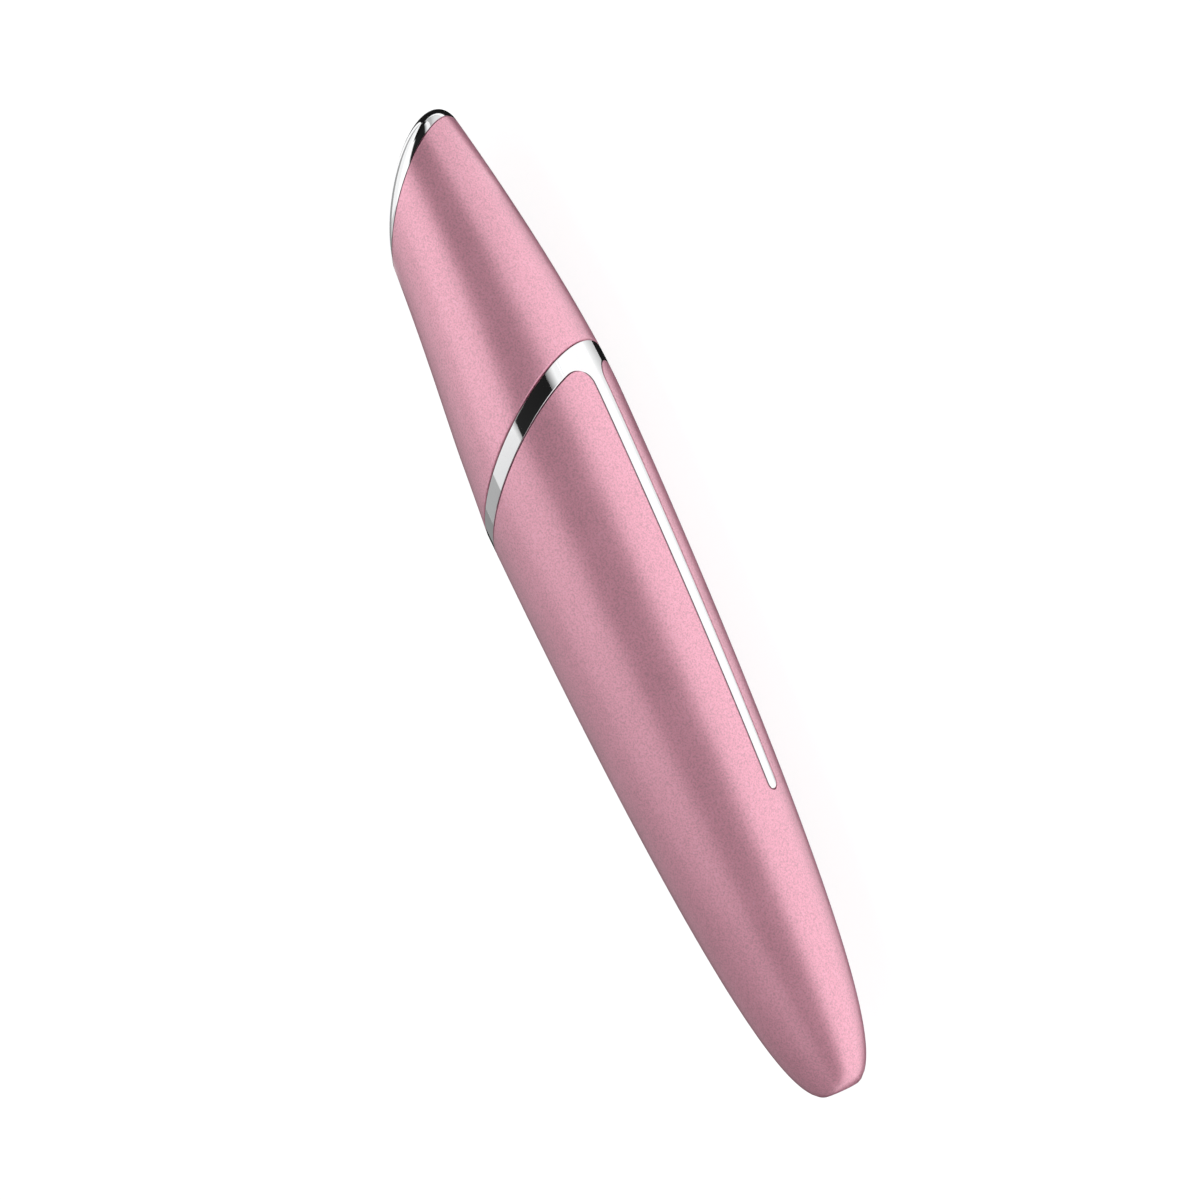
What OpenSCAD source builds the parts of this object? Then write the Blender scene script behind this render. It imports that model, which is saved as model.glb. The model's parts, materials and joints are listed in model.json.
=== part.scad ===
// Heated eye massager wand, as an assembly of separate pieces.
// Every piece is shaped about the wand's own axis: z runs from the tail to the tip, x points to
// the back, where the long strip lies, and y goes across. lay_down() then rests the whole wand on
// its flank, with the tip towards +X, the strip towards -Y and the push button towards +Y.

/* [Body] */
// Largest diameter of the wand
body_d = 23.86; // [23.4:0.02:28.8]
// Distance from the tail to the widest place
widest_z = 95; // [92:1:114]
// Distance past the tail at which the barrel would close to a point
tail_cut = 0.38; // [0.3:0.02:0.6]
// Exponent of the barrel's taper towards the tail
barrel_taper = 1.7; // [1.6:0.05:1.9]
// Exponent that rounds the tail
barrel_round = 0.313; // [0.29:0.001:0.34]
// Distance over which the head would taper to nothing
head_taper_len = 70; // [66:1:84]
// Exponent of the head's taper
head_taper = 1.65; // [1.5:0.05:1.8]
// Wall of the handle
wall = 1.6; // [1.4:0.1:1.9]
// Thickness of the flat tail
tail_wall = 2; // [1.7:0.1:2.4]

/* [Head] */
// Wall of the head
head_wall = 1.4; // [1.2:0.1:1.6]
// Depth of the hollow sweep on the front of the head
sweep_depth = 1.75; // [1.2:0.05:2]
// Length of the hollow sweep
sweep_len = 48; // [44:1:56]
// Height of the tip cut on the axis, above the widest place
tip_rise = 33.7; // [32:0.1:38]
// Tilt of the tip cut
tip_tilt = 48; // [44:1:52]

/* [Trim] */
// Drop of the slanted seam on the axis, below the widest place
seam_drop = 2.2; // [1:0.1:4]
// Tilt of the seam
seam_tilt = 39.6; // [36:0.2:42]
// Width of the ring along the axis
ring_w = 2.6; // [2.2:0.1:3.2]
// Height of the strip's lower end above the tail
strip_end_z = 39.5; // [34:0.5:50]
// Width of the strip at the ring
strip_w_top = 2.6; // [2.1:0.1:3.2]
// Width of the strip at its lower end
strip_w_end = 1.9; // [1.5:0.1:2.3]
// Thickness of the strip
strip_t = 0.8; // [0.6:0.05:0.85]
// Radius of the corners between strip and ring
corner_r = 2.6; // [2:0.1:3.2]
// Fitting gap round the trim
trim_gap = 0.1; // [0.06:0.01:0.15]

/* [Treatment plate] */
// Height of the plate's crown above the tip cut
crown_h = 3.7; // [3:0.1:4.5]
// Place of the crown, measured from the axis towards the back
crown_x = 2.7; // [1.5:0.1:3.2]
// Depth of the plate's skirt inside the head, along the axis
skirt_h = 3; // [2.5:0.1:3.6]
// Thickness of the skirt
skirt_t = 0.8; // [0.7:0.05:1]
// Thickness of the gasket round the skirt
gasket_t = 0.5; // [0.4:0.05:0.6]
// Thickness of the heater film, along the axis
film_t = 0.35; // [0.3:0.05:0.45]
// Radius of the thermistor's bead
bead_r = 0.8; // [0.6:0.05:1]

/* [Button] */
// Length of the push button
button_len = 12; // [10:0.2:14.4]
// Width of the push button
button_w = 6; // [5:0.1:7.2]
// Height of the button above the handle
button_proud = 0.3; // [0.2:0.05:0.5]
// Travel of the button
button_travel = 0.4; // [0.3:0.05:0.45]
// Running gap round the button
button_gap = 0.15; // [0.12:0.01:0.2]
// Width of the button's inner flange outside its cap
button_lip = 0.75; // [0.6:0.05:0.9]
// Wall of the soft surround
surround_t = 0.6; // [0.5:0.05:0.8]
// Distance from the neck's lower end down to the middle of the button
button_drop = 13.6; // [12:0.2:16]
// Distance from the button's middle down to the indicator
lens_drop = 14; // [11:0.5:15]
// Radius of the indicator's light guide
lens_r = 0.9; // [0.7:0.05:1.1]

/* [Cell] */
// Diameter of the rechargeable cell
cell_d = 10; // [8.3:0.1:10.4]
// Length of the rechargeable cell
cell_len = 44; // [40:0.5:46]
// Shift of the cell towards the back
cell_x = 0.5; // [0.2:0.1:0.7]
// Shift of the cell towards the lower flank
cell_y = 0.8; // [0.4:0.1:0.9]

/* [Circuit board] */
// Width of the board
board_w = 8.6; // [8:0.1:8.8]
// Thickness of the board
board_t = 1; // [0.8:0.1:1.2]
// Gap between cell and board
board_gap = 1; // [0.9:0.05:1.3]

/* [Motor] */
// Diameter of the vibration motor
motor_d = 6; // [5:0.1:7.2]
// Length of the motor's can
motor_len = 12; // [10:0.5:14]
// Radius of the eccentric weight
weight_r = 2.8; // [2.2:0.1:3.4]
// Length of the eccentric weight
weight_len = 3.6; // [3:0.1:4.5]
// Radius of the motor's shaft
shaft_r = 0.5; // [0.4:0.05:0.6]

/* [Charging socket] */
// Radius of the pin hole
pin_bore_r = 1.3; // [1.1:0.05:1.56]
// Depth of the pin hole from the tail
pin_depth = 11.5; // [10:0.5:13]
// Radius of the socket's body
socket_r = 2.6; // [2.3:0.05:2.7]
// Length of the socket's body
socket_len = 11.6; // [11.2:0.1:13.6]

/* [Hidden] */

$fn = 48;
far = 200;             // longer than any reach across the wand
eps = 0.01;
fit = 0.1;             // gap between pieces that are fitted together
seat = 0.05;           // gap between faces that rest on each other
body_r = body_d / 2;

// Outline of the barrel and of the round head, as a radius at each height
function outer_r(z) = z <= widest_z
    ? body_r * pow(1 - pow((widest_z - z) / (widest_z + tail_cut), barrel_taper), barrel_round)
    : body_r * (1 - pow((z - widest_z) / head_taper_len, head_taper));
// Height below the widest place at which the barrel has a given radius
function height_of(r) = widest_z - (widest_z + tail_cut)
    * pow(1 - pow(r / body_r, 1 / barrel_round), 1 / barrel_taper);
function cavity_r(z) = outer_r(z) - wall;
function mix(a, b, t) = a + (b - a) * t;

// Seam between head and handle: a plane that rises towards the back
seam_z = widest_z - seam_drop;
seam_slope = tan(seam_tilt);
seam_back_z = seam_z + seam_slope * body_r;
seam_front_z = seam_z - seam_slope * body_r;
trim_top_z = seam_back_z + 1;
parting = 0.15;        // open line between head and ring

// Heights that divide the barrel's outline, closer together at the round tail
barrel_steps = 22;
neck_steps = 4;
stations = concat(
    [for (i = [1 : barrel_steps]) widest_z * pow(i / barrel_steps, 2)],
    [for (i = [1 : neck_steps]) mix(widest_z, trim_top_z, i / neck_steps)]);

// Neck sleeve, which joins handle, ring and head
neck_z = seam_front_z - ring_w - 2.8;
neck_bore_r = body_r - 1.58;
neck_r = neck_bore_r - fit;
neck_in_r = neck_r - 1.65;
spigot_h = 6;
spigot_room = min([for (a = [0 : 30 : 180])
    meet_r(seam_z + spigot_h, seam_slope, head_wall + 2 * fit, a)]);
spigot_r = min(neck_r - 0.65, spigot_room);
web_z = neck_z + 2.4;
web_t = 1.5;
screw_x = 0;
screw_y = neck_in_r - 1.9;
screw_r = 0.85;
screw_head_r = 1.5;
boss_r = 1.7;

// Motor, upright on the web
motor_r = motor_d / 2;
motor_z = web_z + web_t + 1.6;
motor_top_z = motor_z + motor_len;
rubber_t = 0.9;
cup_in_r = motor_r + rubber_t + 2 * seat;
cup_r = min(cup_in_r + 1.1, screw_y - screw_head_r - fit);
cup_h = motor_len - 1;
weight_z = motor_top_z + 1;
shaft_gap = 0.05;

// Charging socket in the tail
socket_z = tail_wall + seat;
socket_top_z = socket_z + socket_len;
tag_len = 3.2;
tag_x = 1.2;

// Cell and its cradle, as low in the barrel as the cradle fits, clear of the socket's tags
cell_r = cell_d / 2;
cradle_in_r = cell_r + 0.15;
cradle_r = cradle_in_r + 0.9;
cradle_z = max(height_of(cell_y + cradle_r + 2 * fit + wall), socket_top_z + tag_len + 2.2);
end_wall_t = 1.2;
pad_t = 0.45;
tab_t = 0.25;
cell_z = cradle_z + end_wall_t + pad_t + tab_t + 2 * seat;
cell_top_z = cell_z + cell_len;

// Board on the front side of the cell, in two rails of the chassis
board_back_x = cell_x - cell_r - board_gap;
board_x = board_back_x - board_t;
rail_x = board_x - 0.5;
rail_in_y = board_w / 2 - 0.4;
rail_out_y = board_w / 2 + 0.6;
rail_z = max(height_of(norm([rail_x, rail_out_y]) + fit + wall), cradle_z + end_wall_t + 12);
bulkhead_t = 1.8;
bulkhead_z = web_z - seat - bulkhead_t;
board_z = rail_z + 0.5;
board_top_z = bulkhead_z - 1.4;
window_y = 3.4;
clamp_r = socket_r + fit + 0.8;
clamp_z = height_of(clamp_r + 3 * fit + wall);

// Push button, surround, switch and indicator on the front
button_z = neck_z - button_drop;
flange_x = fit - sqrt(pow(cavity_r(button_z - button_len / 2), 2)
    - pow(button_w / 2 + button_lip, 2));
switch_size = 3.6;
switch_h = 0.8;
plunger_r = 0.9;
plunger_x = board_x - switch_h - button_travel - 0.15;
plunger_len = switch_h;
flange_t = min(0.6, plunger_x - flange_x - 2 * seat);
stem_r = 1.2;
lens_z = button_z - lens_drop;
lens_lip_r = lens_r + 0.6;
lens_lip_t = 0.6;
lens_lip_x = fit - sqrt(pow(cavity_r(lens_z - lens_lip_r), 2) - pow(lens_lip_r, 2));
led_h = 0.7;

// Tip cut and what lies behind it
tip_z = widest_z + tip_rise;
tip_slope = tan(tip_tilt);
around = 48;           // points round the head
head_rows = 22;
head_inner_rows = 9;
crown_rows = 11;
skirt_inset = head_wall + gasket_t + seat;
pocket_inset = skirt_inset + skirt_t;
pocket_drop = 0.25;
film_top = pocket_drop + seat;
carrier_top = film_top + film_t + seat;
lead_r = 0.4;
lead_y = 1.4;
lead_x = -2.6;         // where the heater's leads meet the film

// Highest point of the crown, on the row that starts at the back of the rim
rim_x = meet_r(tip_z + seat, tip_slope, 0, 0);
rim_z = tip_z + seat + tip_slope * rim_x;
rim_lean = head_r(rim_z, 0) - head_r(rim_z - 1, 0);
rim_rise = crown_h / (cos(tip_tilt) - rim_lean * sin(tip_tilt));
crown_foot_z = tip_z + tip_slope * crown_x + crown_h * cos(tip_tilt) - rim_rise;
wand_len = crown_foot_z + norm([rim_z - crown_foot_z, rim_rise]);

// ---------- shared shapes ----------

// Rests the upright wand on its flank, centred over the origin
module lay_down() {
    multmatrix([[0, 0, 1, -wand_len / 2], [-1, 0, 0, 0], [0, -1, 0, body_r], [0, 0, 0, 1]])
        children();
}

// Solid barrel between two heights, with its surface moved inwards by inset
module barrel(from_z, to_z, inset) {
    inner = [for (z = stations) if (z > from_z + 0.05 && z < to_z - 0.05) z];
    heights = concat([from_z], inner, [to_z]);
    rotate_extrude()
        polygon(concat([[0, from_z]], [for (z = heights) [outer_r(z) - inset, z]], [[0, to_z]]));
}

// Slab between two planes along the slanted seam, given as heights on the axis
module seam_slab(low, high) {
    translate([0, 0, seam_z + low]) rotate([0, -seam_tilt, 0]) translate([-far, -far, 0])
        cube([2 * far, 2 * far, (high - low) * cos(seam_tilt)]);
}

// Flat shape, drawn with height and width, pushed through the wand from one x to another
module through_x(from_x, to_x) {
    translate([to_x, 0, 0]) rotate([0, -90, 0]) linear_extrude(height = to_x - from_x) children();
}

// Round pin along x
module pin_x(from_x, to_x, r, z, y = 0) {
    translate([from_x, y, z]) rotate([0, 90, 0]) cylinder(r = r, h = to_x - from_x);
}

// Flat bar with round ends, its length along the wand
module slot_shape(len, width) {
    square([len - width, width], center = true);
    for (side = [-1, 1]) translate([side * (len - width) / 2, 0]) circle(d = width);
}

// Block given by its lowest and highest corners
module block(low, high) {
    translate(low) cube(high - low);
}

// Skin over a list of rings of points. It is capped at both ends, ends in a point, or is closed
// into a loop.
module skin(rings, loop = false, peak = undef) {
    n = len(rings[0]);
    last = len(rings) - 1;
    pointed = !is_undef(peak);
    points = concat([for (ring = rings) each ring], pointed ? [peak] : []);
    function at(row, i) = (row % (last + 1)) * n + i % n;
    walls = [for (row = [0 : loop ? last : last - 1], i = [0 : n - 1], half = [0, 1])
        half == 0 ? [at(row, i), at(row + 1, i), at(row + 1, i + 1)]
                  : [at(row, i), at(row + 1, i + 1), at(row, i + 1)]];
    bottom = loop ? [] : [[for (i = [0 : n - 1]) i]];
    top = loop ? [] : pointed
        ? [for (i = [0 : n - 1]) [at(last, i), n * (last + 1), at(last, i + 1)]]
        : [[for (i = [n - 1 : -1 : 0]) at(last, i)]];
    polyhedron(points = points, faces = concat(walls, bottom, top));
}

// Smooth path through a few points
function bend(p, i, t) =
    let (a = p[max(i - 1, 0)], b = p[i], c = p[i + 1], d = p[min(i + 2, len(p) - 1)])
    0.5 * (2 * b + (c - a) * t + (2 * a - 5 * b + 4 * c - d) * t * t
        + (3 * b - a - 3 * c + d) * t * t * t);
function smooth_path(p, steps) = concat(
    [for (i = [0 : len(p) - 2], j = [0 : steps - 1]) bend(p, i, j / steps)], [p[len(p) - 1]]);

// Insulated lead along a path
module lead(points, r = lead_r) {
    path = smooth_path(points, 3);
    last = len(path) - 1;
    rings = [for (i = [0 : last])
        let (along = path[min(i + 1, last)] - path[max(i - 1, 0)],
            t = along / norm(along),
            raw = cross([0.2, 1, 0.1], t),
            side = raw / norm(raw),
            up = cross(t, side))
        [for (k = [0 : 7]) path[i] + r * (cos(45 * k) * side + sin(45 * k) * up)]];
    skin(rings);
}

// ---------- head surface ----------

// Radius of the head: round, with a hollow sweep that deepens towards the front
function sweep(z, a) = let (h = (z - seam_z - seam_slope * body_r * cos(a)) / sweep_len)
    sweep_depth * sin(180 * min(max(h, 0), 1)) * (1 - cos(a)) / 2;
function head_r(z, a) = outer_r(z) - sweep(z, a);
// Radius where the head's surface, moved inwards, meets a slanted plane
function meet_r(low, slope, inset, a, r = body_r, n = 30) = n == 0 ? r :
    meet_r(low, slope, inset, a,
        mix(r, head_r(low + slope * r * cos(a), a) - inset, 0.5), n - 1);
function angle(i) = 360 * i / around;
// Ring of points of the head's surface on a slanted plane
function plane_ring(low, slope, inset) = [for (i = [0 : around - 1])
    let (a = angle(i), r = meet_r(low, slope, inset, a))
    [r * cos(a), r * sin(a), low + slope * r * cos(a)]];
function tip_ring(drop, inset) = plane_ring(tip_z - drop, tip_slope, inset);
// Ring of points between two such rings, back on the head's surface
function between(foot, top, t, inset) = [for (i = [0 : around - 1])
    let (a = angle(i), z = mix(foot[i].z, top[i].z, t), r = head_r(z, a) - inset)
    [r * cos(a), r * sin(a), z]];

// Rows of the crown. Each leaves the rim along the head's own surface and arrives level at the top.
crown_top = [crown_x, 0, tip_z + tip_slope * crown_x]
    + crown_h * [-sin(tip_tilt), 0, cos(tip_tilt)];
function crown_row(rim, turn) = [for (i = [0 : around - 1])
    let (a = angle(i), p = rim[i],
        lean = head_r(p.z, a) - head_r(p.z - 1, a),
        side = [lean * cos(a), lean * sin(a), 1],
        rise = crown_h / (side.z * cos(tip_tilt) - side.x * sin(tip_tilt)),
        foot = crown_top - rise * side)
    foot + (p - foot) * cos(turn) + (crown_top - foot) * sin(turn)];

// Places children on the tip cut, z square to it
module on_tip() {
    translate([0, 0, tip_z]) rotate([0, -tip_tilt, 0]) children();
}

// ---------- outer pieces ----------

// Lower edge of the ring on the back, as a height at a distance from the strip's middle
function edge_z(y, z = seam_z, n = 30) = n == 0 ? z :
    edge_z(y, mix(z, seam_z - ring_w + seam_slope * sqrt(pow(outer_r(z), 2) - y * y), 0.5), n - 1);
// Angle at which that edge falls away, and at which a corner of the strip runs into it
function edge_lean(y) = atan((edge_z(y - 0.1) - edge_z(y + 0.1)) / 0.2);
function corner_lean(lean = 15, n = 8) = n == 0 ? lean :
    corner_lean(edge_lean(corner_y + corner_r * sin(lean)), n - 1);
corner_y = strip_w_top / 2 + corner_r;
join_y = corner_y + corner_r * sin(corner_lean());
corner_z = edge_z(join_y) - corner_r * cos(corner_lean()) + 0.03;

// Front view of the trim's strip, with the round corners that lead into the ring
module trim_shape(grow) {
    end_z = strip_end_z + strip_w_end / 2;
    end_half = strip_w_end / 2 + grow;
    top_half = strip_w_top / 2 + grow;
    top_z = edge_z(0) + ring_w / 2;
    translate([end_z, 0]) circle(r = end_half);
    polygon([[end_z, -end_half], [corner_z, -top_half], [top_z, -top_half],
        [top_z, top_half], [corner_z, top_half], [end_z, end_half]]);
    for (side = [-1, 1])
        difference() {
            polygon([[corner_z, 0], [top_z - eps, 0], [top_z - eps, side * join_y],
                [corner_z, side * join_y]]);
            translate([corner_z, side * corner_y]) circle(r = corner_r - grow);
        }
}

module handle_shell() lay_down() color("#d98fa3") difference() {
    barrel(0, trim_top_z, 0);
    barrel(tail_wall, neck_z, wall);
    translate([0, 0, neck_z]) cylinder(r = neck_bore_r, h = far);
    seam_slab(-ring_w - trim_gap, far);
    intersection() {
        difference() {
            barrel(strip_end_z - 3, trim_top_z, -1);
            barrel(strip_end_z - 4, trim_top_z, strip_t + trim_gap);
        }
        through_x(0, far) trim_shape(trim_gap);
    }
    through_x(-far, 0) translate([button_z, 0])
        slot_shape(button_len + 2 * (button_gap + surround_t + seat),
            button_w + 2 * (button_gap + surround_t + seat));
    pin_x(-far, 0, lens_r + seat, lens_z);
    translate([0, 0, -1]) cylinder(r = pin_bore_r, h = tail_wall + 2);
}

module head_shell() lay_down() color("#dd96a9") {
    foot = plane_ring(seam_z + parting, seam_slope, 0);
    tip = tip_ring(0, 0);
    inner_foot = plane_ring(seam_z + parting, seam_slope, head_wall);
    inner_tip = tip_ring(0, head_wall);
    skin(concat(
        [foot], [for (k = [1 : head_rows - 1]) between(foot, tip, k / head_rows, 0)], [tip],
        [inner_tip], [for (k = [head_inner_rows - 1 : -1 : 1])
            between(inner_foot, inner_tip, k / head_inner_rows, head_wall)], [inner_foot]),
        loop = true);
}

module chrome_trim() lay_down() color("#eceef0") {
    // Ring
    intersection() {
        difference() {
            barrel(strip_end_z - 3, trim_top_z, 0);
            translate([0, 0, neck_z]) cylinder(r = neck_bore_r, h = far);
        }
        seam_slab(-ring_w, 0);
    }
    // Strip, which runs into the ring
    intersection() {
        difference() {
            barrel(strip_end_z - 3, trim_top_z, 0);
            barrel(strip_end_z - 4, trim_top_z + 1, strip_t);
        }
        through_x(0, far) trim_shape(0);
        seam_slab(-far, -ring_w / 2);
    }
}

module treatment_plate() lay_down() color("#e6e8ea") {
    rim = tip_ring(-seat, 0);
    skin(concat(
        [tip_ring(pocket_drop, pocket_inset), tip_ring(skirt_h, pocket_inset),
            tip_ring(skirt_h, skirt_inset), tip_ring(-seat, skirt_inset), rim],
        [for (k = [1 : crown_rows - 1]) crown_row(rim, 90 * k / crown_rows)]),
        peak = crown_top);
}

// ---------- behind the plate ----------

module plate_gasket() lay_down() color("#4a4a4c")
    skin([tip_ring(skirt_h, head_wall + seat / 2), tip_ring(2 * seat, head_wall + seat / 2),
        tip_ring(2 * seat, head_wall + gasket_t), tip_ring(skirt_h, head_wall + gasket_t)],
        loop = true);

module plate_carrier() lay_down() color("#efece4") difference() {
    skin([tip_ring(skirt_h - 2 * seat, pocket_inset + fit), tip_ring(carrier_top, pocket_inset + fit)]);
    on_tip() translate([0, 0, -far]) cylinder(r = bead_r + fit, h = far);
    for (side = [-1, 1]) translate([lead_x, side * lead_y, 0]) cylinder(r = lead_r * 2, h = far);
}

module heater_film() lay_down() color("#c87a30")
    skin([tip_ring(film_top + film_t, pocket_inset + 2 * fit), tip_ring(film_top, pocket_inset + 2 * fit)]);

module thermistor() lay_down() color("#20201f") on_tip() {
    face = -carrier_top * cos(tip_tilt);
    translate([0, 0, face - 1.8]) cylinder(r = bead_r, h = 1.8);
}

// ---------- neck and chassis ----------

module neck_sleeve() lay_down() color("#3a3a3d") {
    difference() {
        union() {
            intersection() {
                translate([0, 0, neck_z + seat]) cylinder(r = neck_r, h = far);
                seam_slab(-far, 0);
            }
            intersection() {
                translate([0, 0, web_z]) cylinder(r = spigot_r, h = far);
                seam_slab(-far, spigot_h);
            }
        }
        translate([0, 0, web_z + web_t]) cylinder(r = neck_in_r, h = far);
        translate([0, 0, web_z - far]) cylinder(r = neck_in_r, h = far);
        translate([0, 0, web_z - 1]) cylinder(r = motor_r - 0.4, h = far);
        for (side = [-1, 1]) translate([screw_x, side * screw_y, web_z - 1])
            cylinder(r = screw_r + fit, h = far);
        block([-neck_in_r + 0.4, -lead_y - 0.9, web_z - 1], [-cup_r - 0.2, lead_y + 0.9, web_z + 2 * web_t]);
    }
    difference() {
        translate([0, 0, web_z + web_t - eps]) cylinder(r = cup_r, h = cup_h);
        translate([0, 0, web_z]) cylinder(r = cup_in_r, h = far);
    }
}

module chassis() lay_down() color("#e9e4d6") difference() {
    union() {
        // Cradle of the cell
        translate([cell_x, cell_y, cradle_z]) cylinder(r = cradle_r, h = cell_top_z + 2 - cradle_z);
        // Rails of the board
        for (side = [-1, 1]) {
            y = side * (rail_in_y + rail_out_y) / 2;
            half = (rail_out_y - rail_in_y) / 2;
            block([rail_x, y - half, rail_z], [cell_x - 2, y + half, bulkhead_z + eps]);
        }
        // Bulkhead under the neck's web, and its screw bosses
        translate([0, 0, bulkhead_z]) cylinder(r = neck_in_r - fit, h = bulkhead_t);
        for (side = [-1, 1]) translate([screw_x, side * screw_y, bulkhead_z - 3])
            cylinder(r = boss_r, h = 3 + eps);
        // Clamp of the charging socket
        translate([0, 0, clamp_z]) cylinder(r = clamp_r, h = cradle_z + eps - clamp_z);
    }
    // Room for the cell, open to the board
    translate([cell_x, cell_y, cradle_z + end_wall_t])
        cylinder(r = cradle_in_r, h = cell_top_z + 1 - cradle_z - end_wall_t);
    block([-far, -window_y, cradle_z + end_wall_t], [cell_x - 2.5, window_y, bulkhead_z]);
    block([-far, -far, cell_top_z + 1 - eps], [cell_x + 1.5, rail_in_y - 0.2 - far, bulkhead_z - 4]);
    block([cell_x - cradle_r, -rail_in_y, cell_top_z + 1 - eps], [cell_x + 1.5, rail_in_y, bulkhead_z]);
    // Slot of the board
    block([board_x - seat, -board_w / 2 - seat, rail_z - 1],
        [board_back_x + seat, board_w / 2 + seat, bulkhead_z]);
    // Ways through the bulkhead for the leads
    translate([0, 0, bulkhead_z - 1]) cylinder(r = motor_r - 0.4, h = far);
    block([-neck_in_r - 1, -lead_y - 0.9, bulkhead_z - 1], [-cup_r, lead_y + 0.9, web_z]);
    for (side = [-1, 1]) translate([screw_x, side * screw_y, bulkhead_z - 2.6])
        cylinder(r = screw_r + seat, h = far);
    // Socket, its tags and the way out for its leads
    translate([0, 0, clamp_z - 1]) cylinder(r = socket_r + fit, h = socket_top_z + 1.6 + tag_len - clamp_z);
    block([-1.6, -far, socket_top_z + 0.8], [1.6, 0, cradle_z - 0.8]);
    block([-1.4, -far, cradle_z - 1], [1.4, cell_y - cradle_in_r + 0.2, cradle_z + end_wall_t]);
}

module neck_screws() lay_down() color("#8d9094")
    for (side = [-1, 1]) translate([screw_x, side * screw_y, 0]) {
        translate([0, 0, web_z + web_t + seat]) cylinder(r = screw_head_r, h = 1);
        translate([0, 0, bulkhead_z - 2.2]) cylinder(r = screw_r, h = web_z + web_t + 0.5 - bulkhead_z + 2.2);
    }

// ---------- button, switch and indicator ----------

module power_button() lay_down() color("#e8eaec") {
    intersection() {
        barrel(button_z - button_len, button_z + button_len, -button_proud);
        through_x(-far, flange_x + flange_t / 2) translate([button_z, 0])
            slot_shape(button_len, button_w);
    }
    through_x(flange_x, flange_x + flange_t) translate([button_z, 0])
        slot_shape(button_len + 2 * button_lip, button_w + 2 * button_lip);
    pin_x(flange_x + flange_t / 2, plunger_x - seat, stem_r, button_z);
}

module button_surround() lay_down() color("#5b4a4f") intersection() {
    difference() {
        barrel(button_z - button_len, button_z + button_len, 0);
        barrel(button_z - button_len - 1, button_z + button_len + 1, wall - fit);
    }
    through_x(-far, 0) translate([button_z, 0]) difference() {
        slot_shape(button_len + 2 * (button_gap + surround_t), button_w + 2 * (button_gap + surround_t));
        slot_shape(button_len + 2 * button_gap, button_w + 2 * button_gap);
    }
}

module switch_body() lay_down() color("#2b2b2d") difference() {
    block([board_x - switch_h, -switch_size / 2, button_z - switch_size / 2],
        [board_x - seat / 2, switch_size / 2, button_z + switch_size / 2]);
    pin_x(board_x - far, board_x - seat * 2, plunger_r + shaft_gap, button_z);
}

module switch_plunger() lay_down() color("#d9c9a0")
    pin_x(plunger_x, plunger_x + plunger_len, plunger_r, button_z);

module indicator_lens() lay_down() color("#dfe9ee") {
    intersection() {
        barrel(lens_z - 3, lens_z + 3, 0);
        pin_x(-far, lens_lip_x + eps, lens_r, lens_z);
    }
    pin_x(lens_lip_x, lens_lip_x + lens_lip_t, lens_lip_r, lens_z);
    pin_x(lens_lip_x + lens_lip_t - eps, board_x - led_h - fit, lens_r, lens_z);
}

module indicator_led() lay_down() color("#f4e9c6")
    block([board_x - led_h, -0.4, lens_z - 0.8], [board_x - seat / 2, 0.4, lens_z + 0.8]);

// ---------- board, cell and socket ----------

module circuit_board() lay_down() color("#2f6b45")
    block([board_x, -board_w / 2, board_z], [board_back_x, board_w / 2, board_top_z]);

// Chip or connector on the outer face of the board
module board_block(y, z, width, len, height) {
    block([board_x - height, y - width / 2, z - len / 2], [board_x - seat / 2, y + width / 2, z + len / 2]);
}

module board_parts() lay_down() color("#26282b") {
    // Controller, charger chip and inductor
    board_block(0, lens_z + 4.4, 4, 4, 0.9);
    board_block(-1.8, lens_z - 4, 3, 3, 0.8);
    board_block(2.1, lens_z - 4, 2.8, 2.8, 1.1);
    // Sockets of the heater's and the motor's leads
    board_block(0, board_top_z - 1.8, 2 * lead_y + 2, 2.4, 1.4);
    // Small capacitors beside the switch
    for (side = [-1, 1], step = [0, 1]) board_block(side * 3.1, button_z - 2 + 3 * step, 0.8, 1.6, 0.6);
}

module battery_cell() lay_down() color("#3f6fae") translate([cell_x, cell_y, cell_z]) {
    cylinder(r = cell_r, h = cell_len - 0.8);
    translate([0, 0, cell_len - 0.8 - eps]) cylinder(r = cell_r * 0.4, h = 0.8 + eps);
}

module battery_tabs() lay_down() color("#c9ccd0") {
    front = cell_x - cell_r;
    for (z = [cell_z - seat - tab_t, cell_top_z + seat])
        block([front - seat, cell_y - 1.5, z], [cell_x + 2, cell_y + 1.5, z + tab_t]);
    block([front - seat - tab_t, cell_y - 1.5, cell_z - seat - tab_t], [front - seat + eps, cell_y + 1.5, cell_z + 2]);
    block([front - seat - tab_t, cell_y - 1.5, cell_top_z - 1.6], [front - seat + eps, cell_y + 1.5, cell_top_z + seat + tab_t]);
}

module battery_pad() lay_down() color("#5a5c60")
    translate([cell_x, cell_y, cradle_z + end_wall_t]) cylinder(r = cell_r - 0.3, h = pad_t);

module charging_socket() lay_down() color("#1f2022") difference() {
    translate([0, 0, socket_z]) cylinder(r = socket_r, h = socket_len);
    cylinder(r = pin_bore_r, h = pin_depth);
}

module socket_terminals() lay_down() color("#c7b98c")
    for (side = [-1, 1]) block([side * tag_x - 0.6, -0.15, socket_top_z + eps],
        [side * tag_x + 0.6, 0.15, socket_top_z + tag_len]);

// ---------- vibration motor ----------

module motor_can() lay_down() color("#b9bcc0") difference() {
    translate([0, 0, motor_z]) cylinder(r = motor_r, h = motor_len);
    translate([0, 0, motor_z + 1]) cylinder(r = shaft_r + shaft_gap, h = motor_len);
}

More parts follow.
